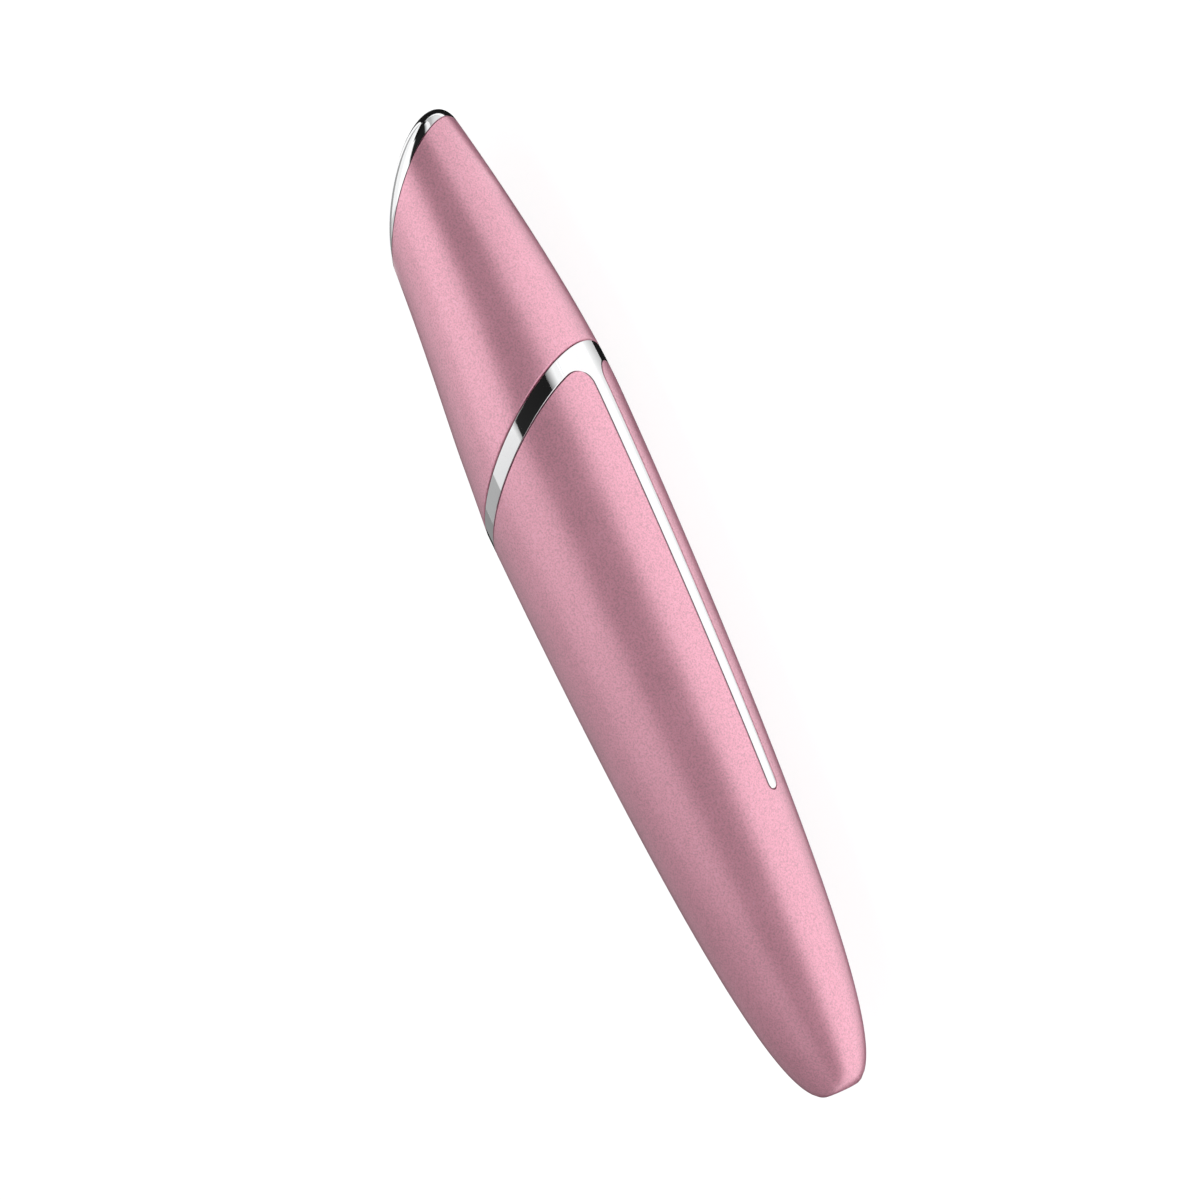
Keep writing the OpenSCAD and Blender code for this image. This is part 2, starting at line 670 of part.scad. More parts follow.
module motor_end_cap() lay_down() color("#222326")
    translate([0, 0, motor_z - 1.2]) cylinder(r = motor_r, h = 1.2 - seat / 2);

module motor_shaft() lay_down() color("#a8abb0")
    translate([0, 0, motor_z + 1.2]) cylinder(r = shaft_r, h = motor_len - 1.2 + 1 + weight_len + 0.5);

module motor_weight() lay_down() color("#7f7a70") difference() {
    translate([0, 0, weight_z]) union() {
        cylinder(r = shaft_r + 0.8, h = weight_len);
        intersection() {
            cylinder(r = weight_r, h = weight_len);
            block([-far, 0, 0], [far, far, weight_len]);
        }
    }
    translate([0, 0, weight_z - 1]) cylinder(r = shaft_r + 0.02, h = far);
}

module motor_sleeve() lay_down() color("#101112") difference() {
    translate([0, 0, motor_z - 1]) cylinder(r = motor_r + seat + rubber_t, h = motor_len - 0.6);
    translate([0, 0, motor_z - 2]) cylinder(r = motor_r + seat, h = motor_len + 2);
}

// ---------- leads ----------

module heater_leads() lay_down() color("#c9302c")
    for (side = [-1, 1]) lead([
        [board_x - lead_r - 0.1, side * lead_y, board_top_z - 0.55],
        [board_x - lead_r - 0.2, side * lead_y, bulkhead_z],
        [-cup_r - 1.5, side * lead_y, web_z + web_t + 3],
        [-cup_r - 1.5, side * lead_y, motor_top_z],
        [-cup_r - 0.6, side * lead_y, motor_top_z + 10],
        [lead_x - 0.3, side * lead_y, tip_z + tip_slope * lead_x - carrier_top - 4],
        [lead_x, side * lead_y, tip_z + tip_slope * lead_x - carrier_top - lead_r]]);

module motor_leads() lay_down() color("#2c52a8")
    for (side = [-1, 1]) lead([
        [0, side, motor_z - 1.2 - seat],
        [0, side, bulkhead_z],
        [-1.2, side, bulkhead_z - 1.6],
        [board_back_x + 1.4, side, board_top_z - 2.2],
        [board_back_x + lead_r + seat, side, board_top_z - 3.4],
        [board_back_x + lead_r + seat, side, board_top_z - 5]]);

module battery_leads() lay_down() color("#b02a2a") {
    front = board_back_x + lead_r + seat;
    lead([
        [cell_x - 2, cell_y + 0.6, cell_top_z + seat + tab_t + lead_r],
        [cell_x - 3.4, cell_y + 0.9, cell_top_z + seat + tab_t + lead_r + 0.3],
        [front + 0.1, cell_y + 1.6, cell_top_z + 2.6],
        [front, cell_y + 1.6, cell_top_z + 3.8]]);
    lead([
        [cell_x - cell_r - seat - tab_t - lead_r, cell_y, cell_z + 1],
        [front - 0.4, 0.2, cell_z + 6],
        [front, -0.4, rail_z - 3],
        [front, -0.4, board_z + 3]]);
}

module socket_leads() lay_down() color("#3b3b3e")
    for (side = [-1, 1]) {
        y = cell_y - cradle_r - lead_r - 0.3;
        lead([
            [side * tag_x, -0.15 - lead_r, socket_top_z + tag_len - 0.8],
            [side * tag_x * 0.8, -1.6, socket_top_z + tag_len + 0.4],
            [side * 0.6, y + 1.4, cradle_z - 1.6],
            [side * 0.6, y, cradle_z + end_wall_t],
            [side * 0.6, y, (cradle_z + end_wall_t + rail_z - 9) / 2],
            [side * 0.6, y, rail_z - 9],
            [-4.6 + side * 0.6, y + 1.6 - side * 0.5, rail_z - 4.4],
            [board_x - lead_r - 0.15, -2.4 - side * 0.9, board_z - 2.2],
            [board_x - lead_r - seat, -2.4 - side * 0.9, board_z + 1.2]]);
    }

handle_shell();
head_shell();
chrome_trim();
treatment_plate();
plate_gasket();
plate_carrier();
heater_film();
thermistor();
neck_sleeve();
chassis();
neck_screws();
power_button();
button_surround();
switch_body();
switch_plunger();
indicator_lens();
indicator_led();
circuit_board();
board_parts();
battery_cell();
battery_tabs();
battery_pad();
motor_can();
motor_end_cap();
motor_shaft();
motor_weight();
motor_sleeve();
charging_socket();
socket_terminals();
heater_leads();
motor_leads();
battery_leads();
socket_leads();
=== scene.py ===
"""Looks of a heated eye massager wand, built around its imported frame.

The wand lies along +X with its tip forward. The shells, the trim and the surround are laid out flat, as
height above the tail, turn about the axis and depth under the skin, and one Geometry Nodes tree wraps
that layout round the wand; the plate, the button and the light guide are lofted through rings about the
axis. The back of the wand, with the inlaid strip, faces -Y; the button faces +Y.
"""

from __future__ import annotations

import json
import logging
import math
from dataclasses import dataclass, replace
from enum import Enum

import bmesh
import bpy
import numpy as np
from bpy.types import Material, Mesh, Node, NodeSocket, NodeTree, Object
from mathutils import Matrix, Vector
from mathutils.geometry import delaunay_2d_cdt

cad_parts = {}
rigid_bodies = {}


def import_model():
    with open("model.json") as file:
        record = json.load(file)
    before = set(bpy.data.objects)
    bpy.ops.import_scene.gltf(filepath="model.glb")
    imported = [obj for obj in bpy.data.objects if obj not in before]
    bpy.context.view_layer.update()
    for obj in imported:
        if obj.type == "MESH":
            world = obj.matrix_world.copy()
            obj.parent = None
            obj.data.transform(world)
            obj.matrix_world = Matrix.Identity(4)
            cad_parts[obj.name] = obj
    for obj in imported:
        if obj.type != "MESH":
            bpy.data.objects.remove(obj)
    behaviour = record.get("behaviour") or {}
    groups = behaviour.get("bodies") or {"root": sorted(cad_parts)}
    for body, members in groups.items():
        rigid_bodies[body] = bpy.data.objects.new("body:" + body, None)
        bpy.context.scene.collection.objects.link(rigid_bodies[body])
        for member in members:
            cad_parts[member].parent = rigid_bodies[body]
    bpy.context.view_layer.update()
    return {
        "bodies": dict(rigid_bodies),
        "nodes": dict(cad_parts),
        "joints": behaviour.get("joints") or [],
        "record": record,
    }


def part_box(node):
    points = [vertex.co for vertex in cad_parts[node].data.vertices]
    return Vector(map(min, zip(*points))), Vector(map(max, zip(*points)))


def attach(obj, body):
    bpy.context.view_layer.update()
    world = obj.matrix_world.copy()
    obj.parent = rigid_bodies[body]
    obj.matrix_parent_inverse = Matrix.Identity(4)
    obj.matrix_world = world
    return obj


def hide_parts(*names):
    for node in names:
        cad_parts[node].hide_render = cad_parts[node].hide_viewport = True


Array = np.ndarray
MM = 0.001
HALF_TURN = math.pi
FULL_TURN = 2 * math.pi
FLANK = -math.pi / 2  # turn at which the layouts are cut open
LOG = logging.getLogger("wand")
SHARP = math.radians(38)  # angle between faces from which an edge stays sharp
ROUNDS = 40  # in which a cut through the skin closes in on its place


# ---------- the wand's outline ----------


@dataclass(frozen=True)
class Outline:
    """Outline of the wand about its axis, in metres, as the frame has it."""

    tail_x: float
    axis_z: float
    radius: float
    widest: float = 95 * MM
    tail_cut: float = 0.38 * MM
    barrel_taper: float = 1.7
    barrel_round: float = 0.313
    head_len: float = 70 * MM
    head_taper: float = 1.65
    sweep_depth: float = 1.75 * MM
    sweep_len: float = 48 * MM
    seam_drop: float = 2.2 * MM
    seam_tilt: float = math.radians(39.6)
    tip_rise: float = 33.7 * MM
    tip_tilt: float = math.radians(48)

    @property
    def seam(self) -> float:
        """Height at which the seam crosses the axis."""
        return self.widest - self.seam_drop

    @property
    def seam_slope(self) -> float:
        """Rise of the seam towards the back."""
        return math.tan(self.seam_tilt)

    @property
    def tip(self) -> float:
        """Height at which the tip cut crosses the axis."""
        return self.widest + self.tip_rise

    @property
    def tip_slope(self) -> float:
        """Rise of the tip cut towards the back."""
        return math.tan(self.tip_tilt)

    def barrel(self) -> Outline:
        """The outline without the hollow sweep on the front of the head."""
        return replace(self, sweep_depth=0.0)

    def reach(self, height: Array, turn: Array) -> Array:
        """Distance of the skin from the axis.

        Args:
            height: heights above the tail.
            turn: turns about the axis, from the back.

        Returns:
            The radius at each place.
        """
        below = np.maximum(self.widest - height, 0) / (self.widest + self.tail_cut)
        above = np.maximum(height - self.widest, 0) / self.head_len
        round_part = np.power(1 - below**self.barrel_taper, self.barrel_round)
        taper_part = 1 - above**self.head_taper
        start = self.seam + self.seam_slope * self.radius * np.cos(turn)
        along = np.clip((height - start) / self.sweep_len, 0, 1)
        hollow = self.sweep_depth * np.sin(math.pi * along) * (1 - np.cos(turn)) / 2
        return self.radius * np.minimum(round_part, taper_part) - hollow

    def place(self, height: Array, turn: Array, depth: Array) -> Array:
        """Points in the frame, from heights, turns and depths under the skin."""
        reach = self.reach(height, turn) - depth
        return self.from_local(np.stack([reach * np.cos(turn), reach * np.sin(turn), height], axis=-1))

    def normal(self, height: Array, turn: Array) -> Array:
        """Outward unit normals of the skin, from small steps along and round it.

        Args:
            height: heights above the tail.
            turn: turns about the axis.

        Returns:
            The normal at each place.
        """
        step, swing = 0.02 * MM, 0.002
        none = np.zeros_like(height)
        along = self.place(height + step, turn, none) - self.place(height - step, turn, none)
        across = self.place(height, turn + swing, none) - self.place(height, turn - swing, none)
        out = np.cross(across, along)
        return out / np.linalg.norm(out, axis=-1, keepdims=True)

    def on_plane(self, low: float, slope: float, turn: Array, depth: float) -> Array:
        """Heights at which a slanted plane cuts the skin.

        Args:
            low: height of the plane on the axis.
            slope: its rise towards the back.
            turn: turns about the axis.
            depth: depth under the skin.

        Returns:
            The height at each turn.
        """
        height = np.full_like(turn, low)
        for _ in range(ROUNDS):
            reach = self.reach(height, turn) - depth
            height = (height + low + slope * reach * np.cos(turn)) / 2
        return height

    def turn_at(self, height: Array, across: Array, depth: float, front: bool) -> Array:
        """Turns of points given by their distance across the wand, on its back or its front."""
        turn = np.arcsin(across / (self.reach(height, np.zeros_like(height)) - depth))
        return HALF_TURN - turn if front else turn

    def from_local(self, points: Array) -> Array:
        """Points in the frame, from points about the axis: towards the back, across, and height."""
        back, across, height = points[..., 0], points[..., 1], points[..., 2]
        return np.stack([self.tail_x + height, -back, self.axis_z - across], axis=-1)


# ---------- node formulas ----------


class Formula:
    """A number in a node tree, which can be reckoned with like any other number."""

    def __init__(self, tree: NodeTree, socket: NodeSocket) -> None:
        """Wraps an output socket of a tree."""
        self.tree = tree
        self.socket = socket

    def _math(self, operation: str, *others: Formula | float) -> Formula:
        """Adds a math node on this number and others.

        Args:
            operation: what the node does.
            others: the numbers after this one.

        Returns:
            The result.
        """
        node = self.tree.nodes.new("ShaderNodeMath")
        node.operation = operation
        for entry, value in zip(node.inputs, (self, *others)):
            if isinstance(value, Formula):
                self.tree.links.new(value.socket, entry)
            else:
                entry.default_value = value
        return Formula(self.tree, node.outputs[0])

    def __add__(self, other: Formula | float) -> Formula:
        """Sum."""
        return self._math("ADD", other)

    def __sub__(self, other: Formula | float) -> Formula:
        """Difference."""
        return self._math("SUBTRACT", other)

    def __mul__(self, other: Formula | float) -> Formula:
        """Product."""
        return self._math("MULTIPLY", other)

    def __truediv__(self, other: Formula | float) -> Formula:
        """Quotient."""
        return self._math("DIVIDE", other)

    def __pow__(self, other: Formula | float) -> Formula:
        """Power."""
        return self._math("POWER", other)

    def __neg__(self) -> Formula:
        """Opposite."""
        return self._math("MULTIPLY", -1.0)

    def rest(self) -> Formula:
        """One less this number."""
        return (-self) + 1.0

    def at_least(self, low: float) -> Formula:
        """The larger of this number and a limit."""
        return self._math("MAXIMUM", low)

    def smaller(self, other: Formula | float) -> Formula:
        """The smaller of this number and another."""
        return self._math("MINIMUM", other)

    def sine(self) -> Formula:
        """Sine of this angle."""
        return self._math("SINE")

    def cosine(self) -> Formula:
        """Cosine of this angle."""
        return self._math("COSINE")


class WrapTree:
    """Geometry Nodes tree that wraps a flat layout round the wand's outline."""

    SIZES = {
        "Largest radius": "radius",
        "Widest height": "widest",
        "Tail cut": "tail_cut",
        "Barrel taper": "barrel_taper",
        "Barrel rounding": "barrel_round",
        "Head length": "head_len",
        "Head taper": "head_taper",
        "Sweep depth": "sweep_depth",
        "Sweep length": "sweep_len",
        "Seam height": "seam",
        "Seam slope": "seam_slope",
        "Tail place": "tail_x",
        "Axis height": "axis_z",
    }

    def __init__(self) -> None:
        """Builds the tree once."""
        self.tree = bpy.data.node_groups.new("wrap_on_wand", "GeometryNodeTree")
        face = self.tree.interface
        face.new_socket("Layout", in_out="INPUT", socket_type="NodeSocketGeometry")
        for name in self.SIZES:
            face.new_socket(name, in_out="INPUT", socket_type="NodeSocketFloat")
        face.new_socket("Finish", in_out="INPUT", socket_type="NodeSocketMaterial")
        face.new_socket("Piece", in_out="OUTPUT", socket_type="NodeSocketGeometry")
        self._fill()

    def _fill(self) -> None:
        """Adds the nodes: radius at each point, its new place, and the finish."""
        nodes, links = self.tree.nodes, self.tree.links
        entry = nodes.new("NodeGroupInput")
        size = {n: Formula(self.tree, entry.outputs[n]) for n in self.SIZES}
        position = nodes.new("GeometryNodeInputPosition")
        parts = nodes.new("ShaderNodeSeparateXYZ")
        links.new(position.outputs[0], parts.inputs[0])
        height, turn, depth = (Formula(self.tree, parts.outputs[i]) for i in range(3))

        widest, radius = size["Widest height"], size["Largest radius"]
        below = (widest - height).at_least(0.0) / (widest + size["Tail cut"])
        barrel = (below ** size["Barrel taper"]).rest().at_least(0.0) ** size["Barrel rounding"]
        above = (height - widest).at_least(0.0) / size["Head length"]
        head = (above ** size["Head taper"]).rest()
        start = size["Seam height"] + size["Seam slope"] * radius * turn.cosine()
        along = ((height - start) / size["Sweep length"]).at_least(0.0).smaller(1.0)
        hollow = size["Sweep depth"] * (along * math.pi).sine() * turn.cosine().rest() * 0.5
        reach = radius * barrel.smaller(head) - hollow - depth

        spot = nodes.new("ShaderNodeCombineXYZ")
        links.new((size["Tail place"] + height).socket, spot.inputs[0])
        links.new((-(reach * turn.cosine())).socket, spot.inputs[1])
        links.new((size["Axis height"] - reach * turn.sine()).socket, spot.inputs[2])
        move = nodes.new("GeometryNodeSetPosition")
        links.new(entry.outputs["Layout"], move.inputs["Geometry"])
        links.new(spot.outputs[0], move.inputs["Position"])
        real = nodes.new("GeometryNodeRealizeInstances")
        links.new(move.outputs[0], real.inputs[0])
        paint = nodes.new("GeometryNodeSetMaterial")
        links.new(real.outputs[0], paint.inputs["Geometry"])
        links.new(entry.outputs["Finish"], paint.inputs["Material"])
        leave = nodes.new("NodeGroupOutput")
        links.new(paint.outputs[0], leave.inputs[0])

    def wrap(self, flat: Mesh, outline: Outline, finish: Material) -> Mesh:
        """Wraps a flat layout.

        Args:
            flat: mesh whose points are height, turn and depth.
            outline: the outline to wrap it on.
            finish: its material.

        Returns:
            The wrapped mesh, with nothing live on it.
        """
        holder = bpy.data.objects.new("layout", flat)
        bpy.context.scene.collection.objects.link(holder)
        modifier = holder.modifiers.new("wrap", "NODES")
        modifier.node_group = self.tree
        sockets = {s.name: s.identifier for s in self.tree.interface.items_tree}
        for name, part in self.SIZES.items():
            modifier[sockets[name]] = float(getattr(outline, part))
        modifier[sockets["Finish"]] = finish
        graph = bpy.context.evaluated_depsgraph_get()
        mesh = bpy.data.meshes.new_from_object(holder.evaluated_get(graph))
        bpy.data.objects.remove(holder)
        bpy.data.meshes.remove(flat)
        return mesh


# ---------- flat layouts ----------


def around(count: int, start: float = 0.0) -> Array:
    """Evenly spaced turns, once round."""
    return start + FULL_TURN * np.arange(count) / count


def inside(points: Array, loops: list[Array]) -> Array:
    """Which flat points lie inside an odd number of closed loops.

    Args:
        points: the points.
        loops: the outlines.

    Returns:
        A yes or no for each point.
    """
    odd = np.zeros(len(points), bool)
    for loop in loops:
        for (x0, y0), (x1, y1) in zip(loop, np.roll(loop, -1, axis=0)):
            if y0 == y1:
                continue
            spans = (points[:, 1] < y0) != (points[:, 1] < y1)
            odd ^= spans & (points[:, 0] < x0 + (points[:, 1] - y0) * (x1 - x0) / (y1 - y0))
    return odd


def triangles(loops: list[Array], inner: Array) -> Array:
    """Fills the flat area between loops.

    Args:
        loops: closed outlines, the outer one and its holes.
        inner: further points in the area.

    Returns:
        Triangles, as indices into all loops' points and then the inner ones.
    """
    points = np.vstack([*loops, inner]) if len(inner) else np.vstack(loops)
    edges, start = [], 0
    for loop in loops:
        count = len(loop)
        edges += [(start + i, start + (i + 1) % count) for i in range(count)]
        start += count
    scaled, tolerance = [Vector(p) for p in points / MM], 1e-6
    _, _, faces, origins, _, _ = delaunay_2d_cdt(scaled, edges, [], 0, tolerance)
    found = np.array([[origins[i][0] for i in face] for face in faces])
    return found[inside(points[found].mean(axis=1), loops)]


def spread(loops: list[Array], pitch: float) -> Array:
    """Staggered points inside the loops, clear of their edges.

    Args:
        loops: closed outlines, the outer one first.
        pitch: distance between the points.

    Returns:
        The points.
    """
    row_step, clear, batch = pitch * 0.866, pitch * 0.6, 60
    low, high = loops[0].min(axis=0), loops[0].max(axis=0)
    rows = np.arange(low[0] + pitch / 2, high[0], row_step)
    columns = np.arange(low[1], high[1], pitch)
    grid = np.array([(r, c + (i % 2) * pitch / 2) for i, r in enumerate(rows) for c in columns])
    grid = grid[inside(grid, loops)]
    border = np.vstack(loops)
    near = np.full(len(grid), np.inf)
    for part in np.array_split(border, max(1, len(border) // batch)):
        gaps = np.linalg.norm(grid[:, None] - part[None], axis=2).min(axis=1)
        near = np.minimum(near, gaps)
    return grid[near > clear]


class Layout:
    """A mesh laid out flat: its points are height, turn and depth."""

    def __init__(self) -> None:
        """Starts empty."""
        self.points: list[Array] = []
        self.on_skin: list[Array] = []
        self.faces: list[list[int]] = []
        self.count = 0

    def row(self, height: Array, turn: Array, depth: Array | float, skin: bool = False) -> Array:
        """Adds a row of points.

        Args:
            height: heights above the tail.
            turn: turns about the axis.
            depth: depths under the skin.
            skin: whether the points lie on the smooth outer skin.

        Returns:
            The points' indices.
        """
        block = np.stack(np.broadcast_arrays(height, turn, depth), axis=-1)
        self.points.append(block)
        self.on_skin.append(np.full(len(block), skin))
        self.count += len(block)
        return np.arange(self.count - len(block), self.count)

    def bridge(self, *rows: Array) -> None:
        """Joins each row to the next with four-sided faces.

        Args:
            rows: indices of the rows, which all go once round and have equally many points.
        """
        for first, second in zip(rows, rows[1:]):
            corners = first, np.roll(first, -1), np.roll(second, -1), second
            self.faces += np.stack(corners, axis=-1).tolist()

    def patch(self, indices: Array, found: Array) -> None:
        """Adds triangles, given by places in a list of indices."""
        self.faces += indices[found].tolist()

    def build(self, name: str, outline: Outline, tree: WrapTree, finish: Material) -> Object:
        """Wraps the layout and gives its skin the outline's own normals.

        Args:
            name: the piece's name.
            outline: the outline to wrap on.
            tree: the wrapping tree.
            finish: the material.

        Returns:
            The finished piece.
        """
        points = np.vstack(self.points)
        flat = bpy.data.meshes.new(name)
        flat.from_pydata(points.tolist(), [], self.faces)
        mesh = tree.wrap(flat, outline, finish)
        mesh.name = name
        face_outwards(mesh)
        normals = outline.normal(points[:, 0], points[:, 1])
        normals[~np.concatenate(self.on_skin)] = 0.0
        smooth(mesh, normals)
        return add_object(name, mesh)


def face_outwards(mesh: Mesh) -> None:
    """Turns every face of a closed mesh outwards, and warns where it isn't closed.

    Args:
        mesh: the mesh.
    """
    work = bmesh.new()
    work.from_mesh(mesh)
    bmesh.ops.recalc_face_normals(work, faces=work.faces)
    if work.calc_volume(signed=True) < 0:
        bmesh.ops.reverse_faces(work, faces=work.faces)
    open_edges = sum(1 for e in work.edges if not e.is_manifold)
    if open_edges:
        LOG.warning("%s has %d open edges", mesh.name, open_edges)
    work.to_mesh(mesh)
    work.free()


def smooth(mesh: Mesh, normals: Array | None = None) -> None:
    """Shades a mesh smooth, with sharp corners kept.

    Args:
        mesh: the mesh.
        normals: a normal for each point; where it is zero, Blender's own is used.
    """
    for face in mesh.polygons:
        face.use_smooth = True
    mesh.set_sharp_from_angle(angle=SHARP)
    if normals is not None:
        corners = np.zeros(len(mesh.loops), np.int32)
        mesh.loops.foreach_get("vertex_index", corners)
        mesh.normals_split_custom_set(normals[corners].tolist())


def add_object(name: str, mesh: Mesh) -> Object:
    """Puts a mesh in the scene as an object at the origin.

    Args:
        name: the object's name.
        mesh: its mesh.

    Returns:
        The object.
    """
    piece = bpy.data.objects.new(name, mesh)
    bpy.context.scene.collection.objects.link(piece)
    return piece


def rounding(edge: float, steps: int = 3) -> list[tuple[float, float]]:
    """Rows of a rounded edge, as (distance back from the edge, depth), skin first."""
    turns = [math.pi / 2 * i / steps for i in range(steps + 1)]
    return [(edge * (1 - math.sin(t)), edge * (1 - math.cos(t))) for t in turns]


def stadium(length: float, width: float, grow: float, corner: int, side: int) -> tuple[Array, Array]:
    """A bar with round ends, its length along the wand and its middle at height 0.

    Args:
        length: its length before growing.
        width: its width before growing.
        grow: how far it is grown.
        corner: steps in each round end.
        side: steps along each side.

    Returns:
        The points' heights, and their places across.
    """
    half, radius = (length - width) / 2, width / 2 + grow
    arc = np.linspace(-math.pi / 2, math.pi / 2, corner + 1)
    run = np.linspace(half, -half, side + 1)[1:-1]
    end, bow, edge = half + radius * np.cos(arc), radius * np.sin(arc), np.full(side - 1, radius)
    return np.concatenate([end, run, -end, -run]), np.concatenate([bow, edge, -bow, -edge])


def loft(name: str, outline: Outline, rings: list[Array], finish: Material) -> Object:
    """A closed piece through rings of equally many points.

    Args:
        name: the piece's name.
        outline: the outline whose axis the rings are about.
        rings: points about the axis; a ring may shrink to a line or a point.
        finish: the material.

    Returns:
        The finished piece.
    """
    layout, same_place = Layout(), 1e-6
    layout.bridge(*[layout.row(*ring.T) for ring in rings])
    mesh = bpy.data.meshes.new(name)
    mesh.from_pydata(outline.from_local(np.vstack(layout.points)).tolist(), [], layout.faces)
    work = bmesh.new()
    work.from_mesh(mesh)
    bmesh.ops.remove_doubles(work, verts=work.verts, dist=same_place)
    work.to_mesh(mesh)
    work.free()
    face_outwards(mesh)
    mesh.materials.append(finish)
    smooth(mesh)
    return add_object(name, mesh)


# ---------- finishes ----------


def map_range(tree: NodeTree, value: NodeSocket, ends: tuple[float, float, float, float]) -> NodeSocket:
    """Adds a node that maps one stretch of values to another.

    Args:
        tree: the tree it goes to.
        value: the socket with the values.
        ends: both ends of the values' stretch, and what each end becomes.

    Returns:
        The socket that gives the result.
    """
    node = tree.nodes.new("ShaderNodeMapRange")
    for name, end in zip(("From Min", "From Max", "To Min", "To Max"), ends):
        node.inputs[name].default_value = end
    tree.links.new(value, node.inputs["Value"])
    return node.outputs[0]


class Texture(Enum):
    """Kinds of surface, by what gives them their fine detail."""

    PEARL = "pearl lacquer with fine flakes"
    PLATED = "polished plating"
    MOULDED = "moulded plastic or rubber"
    METAL = "drawn or turned metal"


@dataclass(frozen=True)
class Finish:
    """A finish: its colour, how it shines, and its fine detail."""

    name: str
    colour: tuple[float, float, float]
    roughness: float
    texture: Texture = Texture.MOULDED
    metallic: float = 0.0
    coat: float = 0.0
    coat_roughness: float = 0.2
    coat_ior: float = 1.5
    mottle: float = 0.06
    grain: float = 0.3 * MM
    relief: float = 0.004 * MM

    WORN = 0.08  # share of the roughness that comes and goes
    BROAD = 40  # size of the broad spots, in grains
    STRETCH = 0.08  # share of its length that a spot on drawn metal keeps along X
    MIDDLE = 0.3, 0.7  # stretch of a noise's values that counts

    def material(self) -> Material:
        """Builds the material's nodes, which read places on the object.

        Returns:
            The material.
        """
        material = bpy.data.materials.new(self.name)
        material.use_nodes = True
        tree = material.node_tree
        shader = tree.nodes["Principled BSDF"]
        shader.inputs["Metallic"].default_value = self.metallic
        shader.inputs["Coat Weight"].default_value = self.coat
        shader.inputs["Coat Roughness"].default_value = self.coat_roughness
        shader.inputs["Coat IOR"].default_value = self.coat_ior
        place = tree.nodes.new("ShaderNodeTexCoord")
        mapping = tree.nodes.new("ShaderNodeMapping")
        stretch = self.STRETCH if self.texture is Texture.METAL else 1.0
        mapping.inputs["Scale"].default_value = (stretch, 1.0, 1.0)
        tree.links.new(place.outputs["Object"], mapping.inputs["Vector"])
        fine = self._noise(tree, mapping, self.grain, detail=2.0)
        broad = self._noise(tree, mapping, self.grain * self.BROAD, detail=3.0)
        self._colour(tree, shader, fine, broad)
        self._roughness(tree, shader, broad)
        if self.relief > 0:
            self._relief(tree, shader, fine)
        return material

    def _noise(self, tree: NodeTree, mapping: Node, size: float, detail: float) -> Node:
        """Adds a noise whose spots have a given size.

        Args:
            tree: the material's tree.
            mapping: the node that gives the place.
            size: the size of a spot.
            detail: how many times finer spots are laid over it.

        Returns:
            The noise's node.
        """
        noise = tree.nodes.new("ShaderNodeTexNoise")
        noise.inputs["Scale"].default_value = 1 / size
        noise.inputs["Detail"].default_value = detail
        tree.links.new(mapping.outputs[0], noise.inputs["Vector"])
        return noise

    def _colour(self, tree: NodeTree, shader: Node, fine: Node, broad: Node) -> None:
        """Varies the colour with the noises, the broad one far less than the fine one.

        Args:
            tree: the material's tree.
            shader: the node that the colour goes to.
            fine: the fine noise.
            broad: the broad noise.
        """
        colour = None
        for noise, share in ((fine, self.mottle), (broad, min(self.mottle * 0.3, 0.03))):
            mix = tree.nodes.new("ShaderNodeMix")
            mix.data_type = "RGBA"
            mix.blend_type = "MULTIPLY"
            mix.inputs["Factor"].default_value = 1.0
            ramp = tree.nodes.new("ShaderNodeValToRGB")
            shades = 1 - share, 1 + share
            for stop, place, shade in zip(ramp.color_ramp.elements, self.MIDDLE, shades):
                stop.position = place
                stop.color = (shade, shade, shade, 1)
            tree.links.new(noise.outputs[0], ramp.inputs[0])
            tree.links.new(ramp.outputs[0], mix.inputs[7])
            if colour is None:
                mix.inputs[6].default_value = (*self.colour, 1)
            else:
                tree.links.new(colour, mix.inputs[6])
            colour = mix.outputs[2]
        tree.links.new(colour, shader.inputs["Base Color"])

    def _roughness(self, tree: NodeTree, shader: Node, broad: Node) -> None:
        """Varies the roughness a little, as handling does.

        Args:
            tree: the material's tree.
            shader: the node that the roughness goes to.
            broad: the broad noise.
        """
        ends = (*self.MIDDLE, self.roughness * (1 - self.WORN), self.roughness * (1 + self.WORN))
        tree.links.new(map_range(tree, broad.outputs[0], ends), shader.inputs["Roughness"])

    def _relief(self, tree: NodeTree, shader: Node, fine: Node) -> None:
        """Adds the fine relief.

        Args:
            tree: the material's tree.
            shader: the node that the relief goes to.
            fine: the fine noise.
        """
        bump = tree.nodes.new("ShaderNodeBump")
        bump.inputs["Distance"].default_value = self.relief
        tree.links.new(fine.outputs[0], bump.inputs["Height"])
        tree.links.new(bump.outputs[0], shader.inputs["Normal"])


PEARL_PINK = Finish(
    "pearl_pink", (0.95, 0.435, 0.56), 0.4, Texture.PEARL, metallic=0.55, coat=0.9,
    coat_roughness=0.3, coat_ior=1.75, mottle=0.2, grain=0.24 * MM, relief=0.003 * MM,
)
PLATED = Finish(
    "plated_chrome", (0.93, 0.935, 0.94), 0.05, Texture.PLATED, metallic=1.0, mottle=0.01, relief=0.0,
)
PLATE = replace(PLATED, name="polished_plate", colour=(0.91, 0.915, 0.92), roughness=0.06)
SILICONE = Finish("soft_silicone", (0.30, 0.16, 0.19), 0.6)
LIGHT_GUIDE = Finish(
    "light_guide", (0.85, 0.88, 0.90), 0.22, coat=0.5, coat_roughness=0.08, mottle=0.02,
)

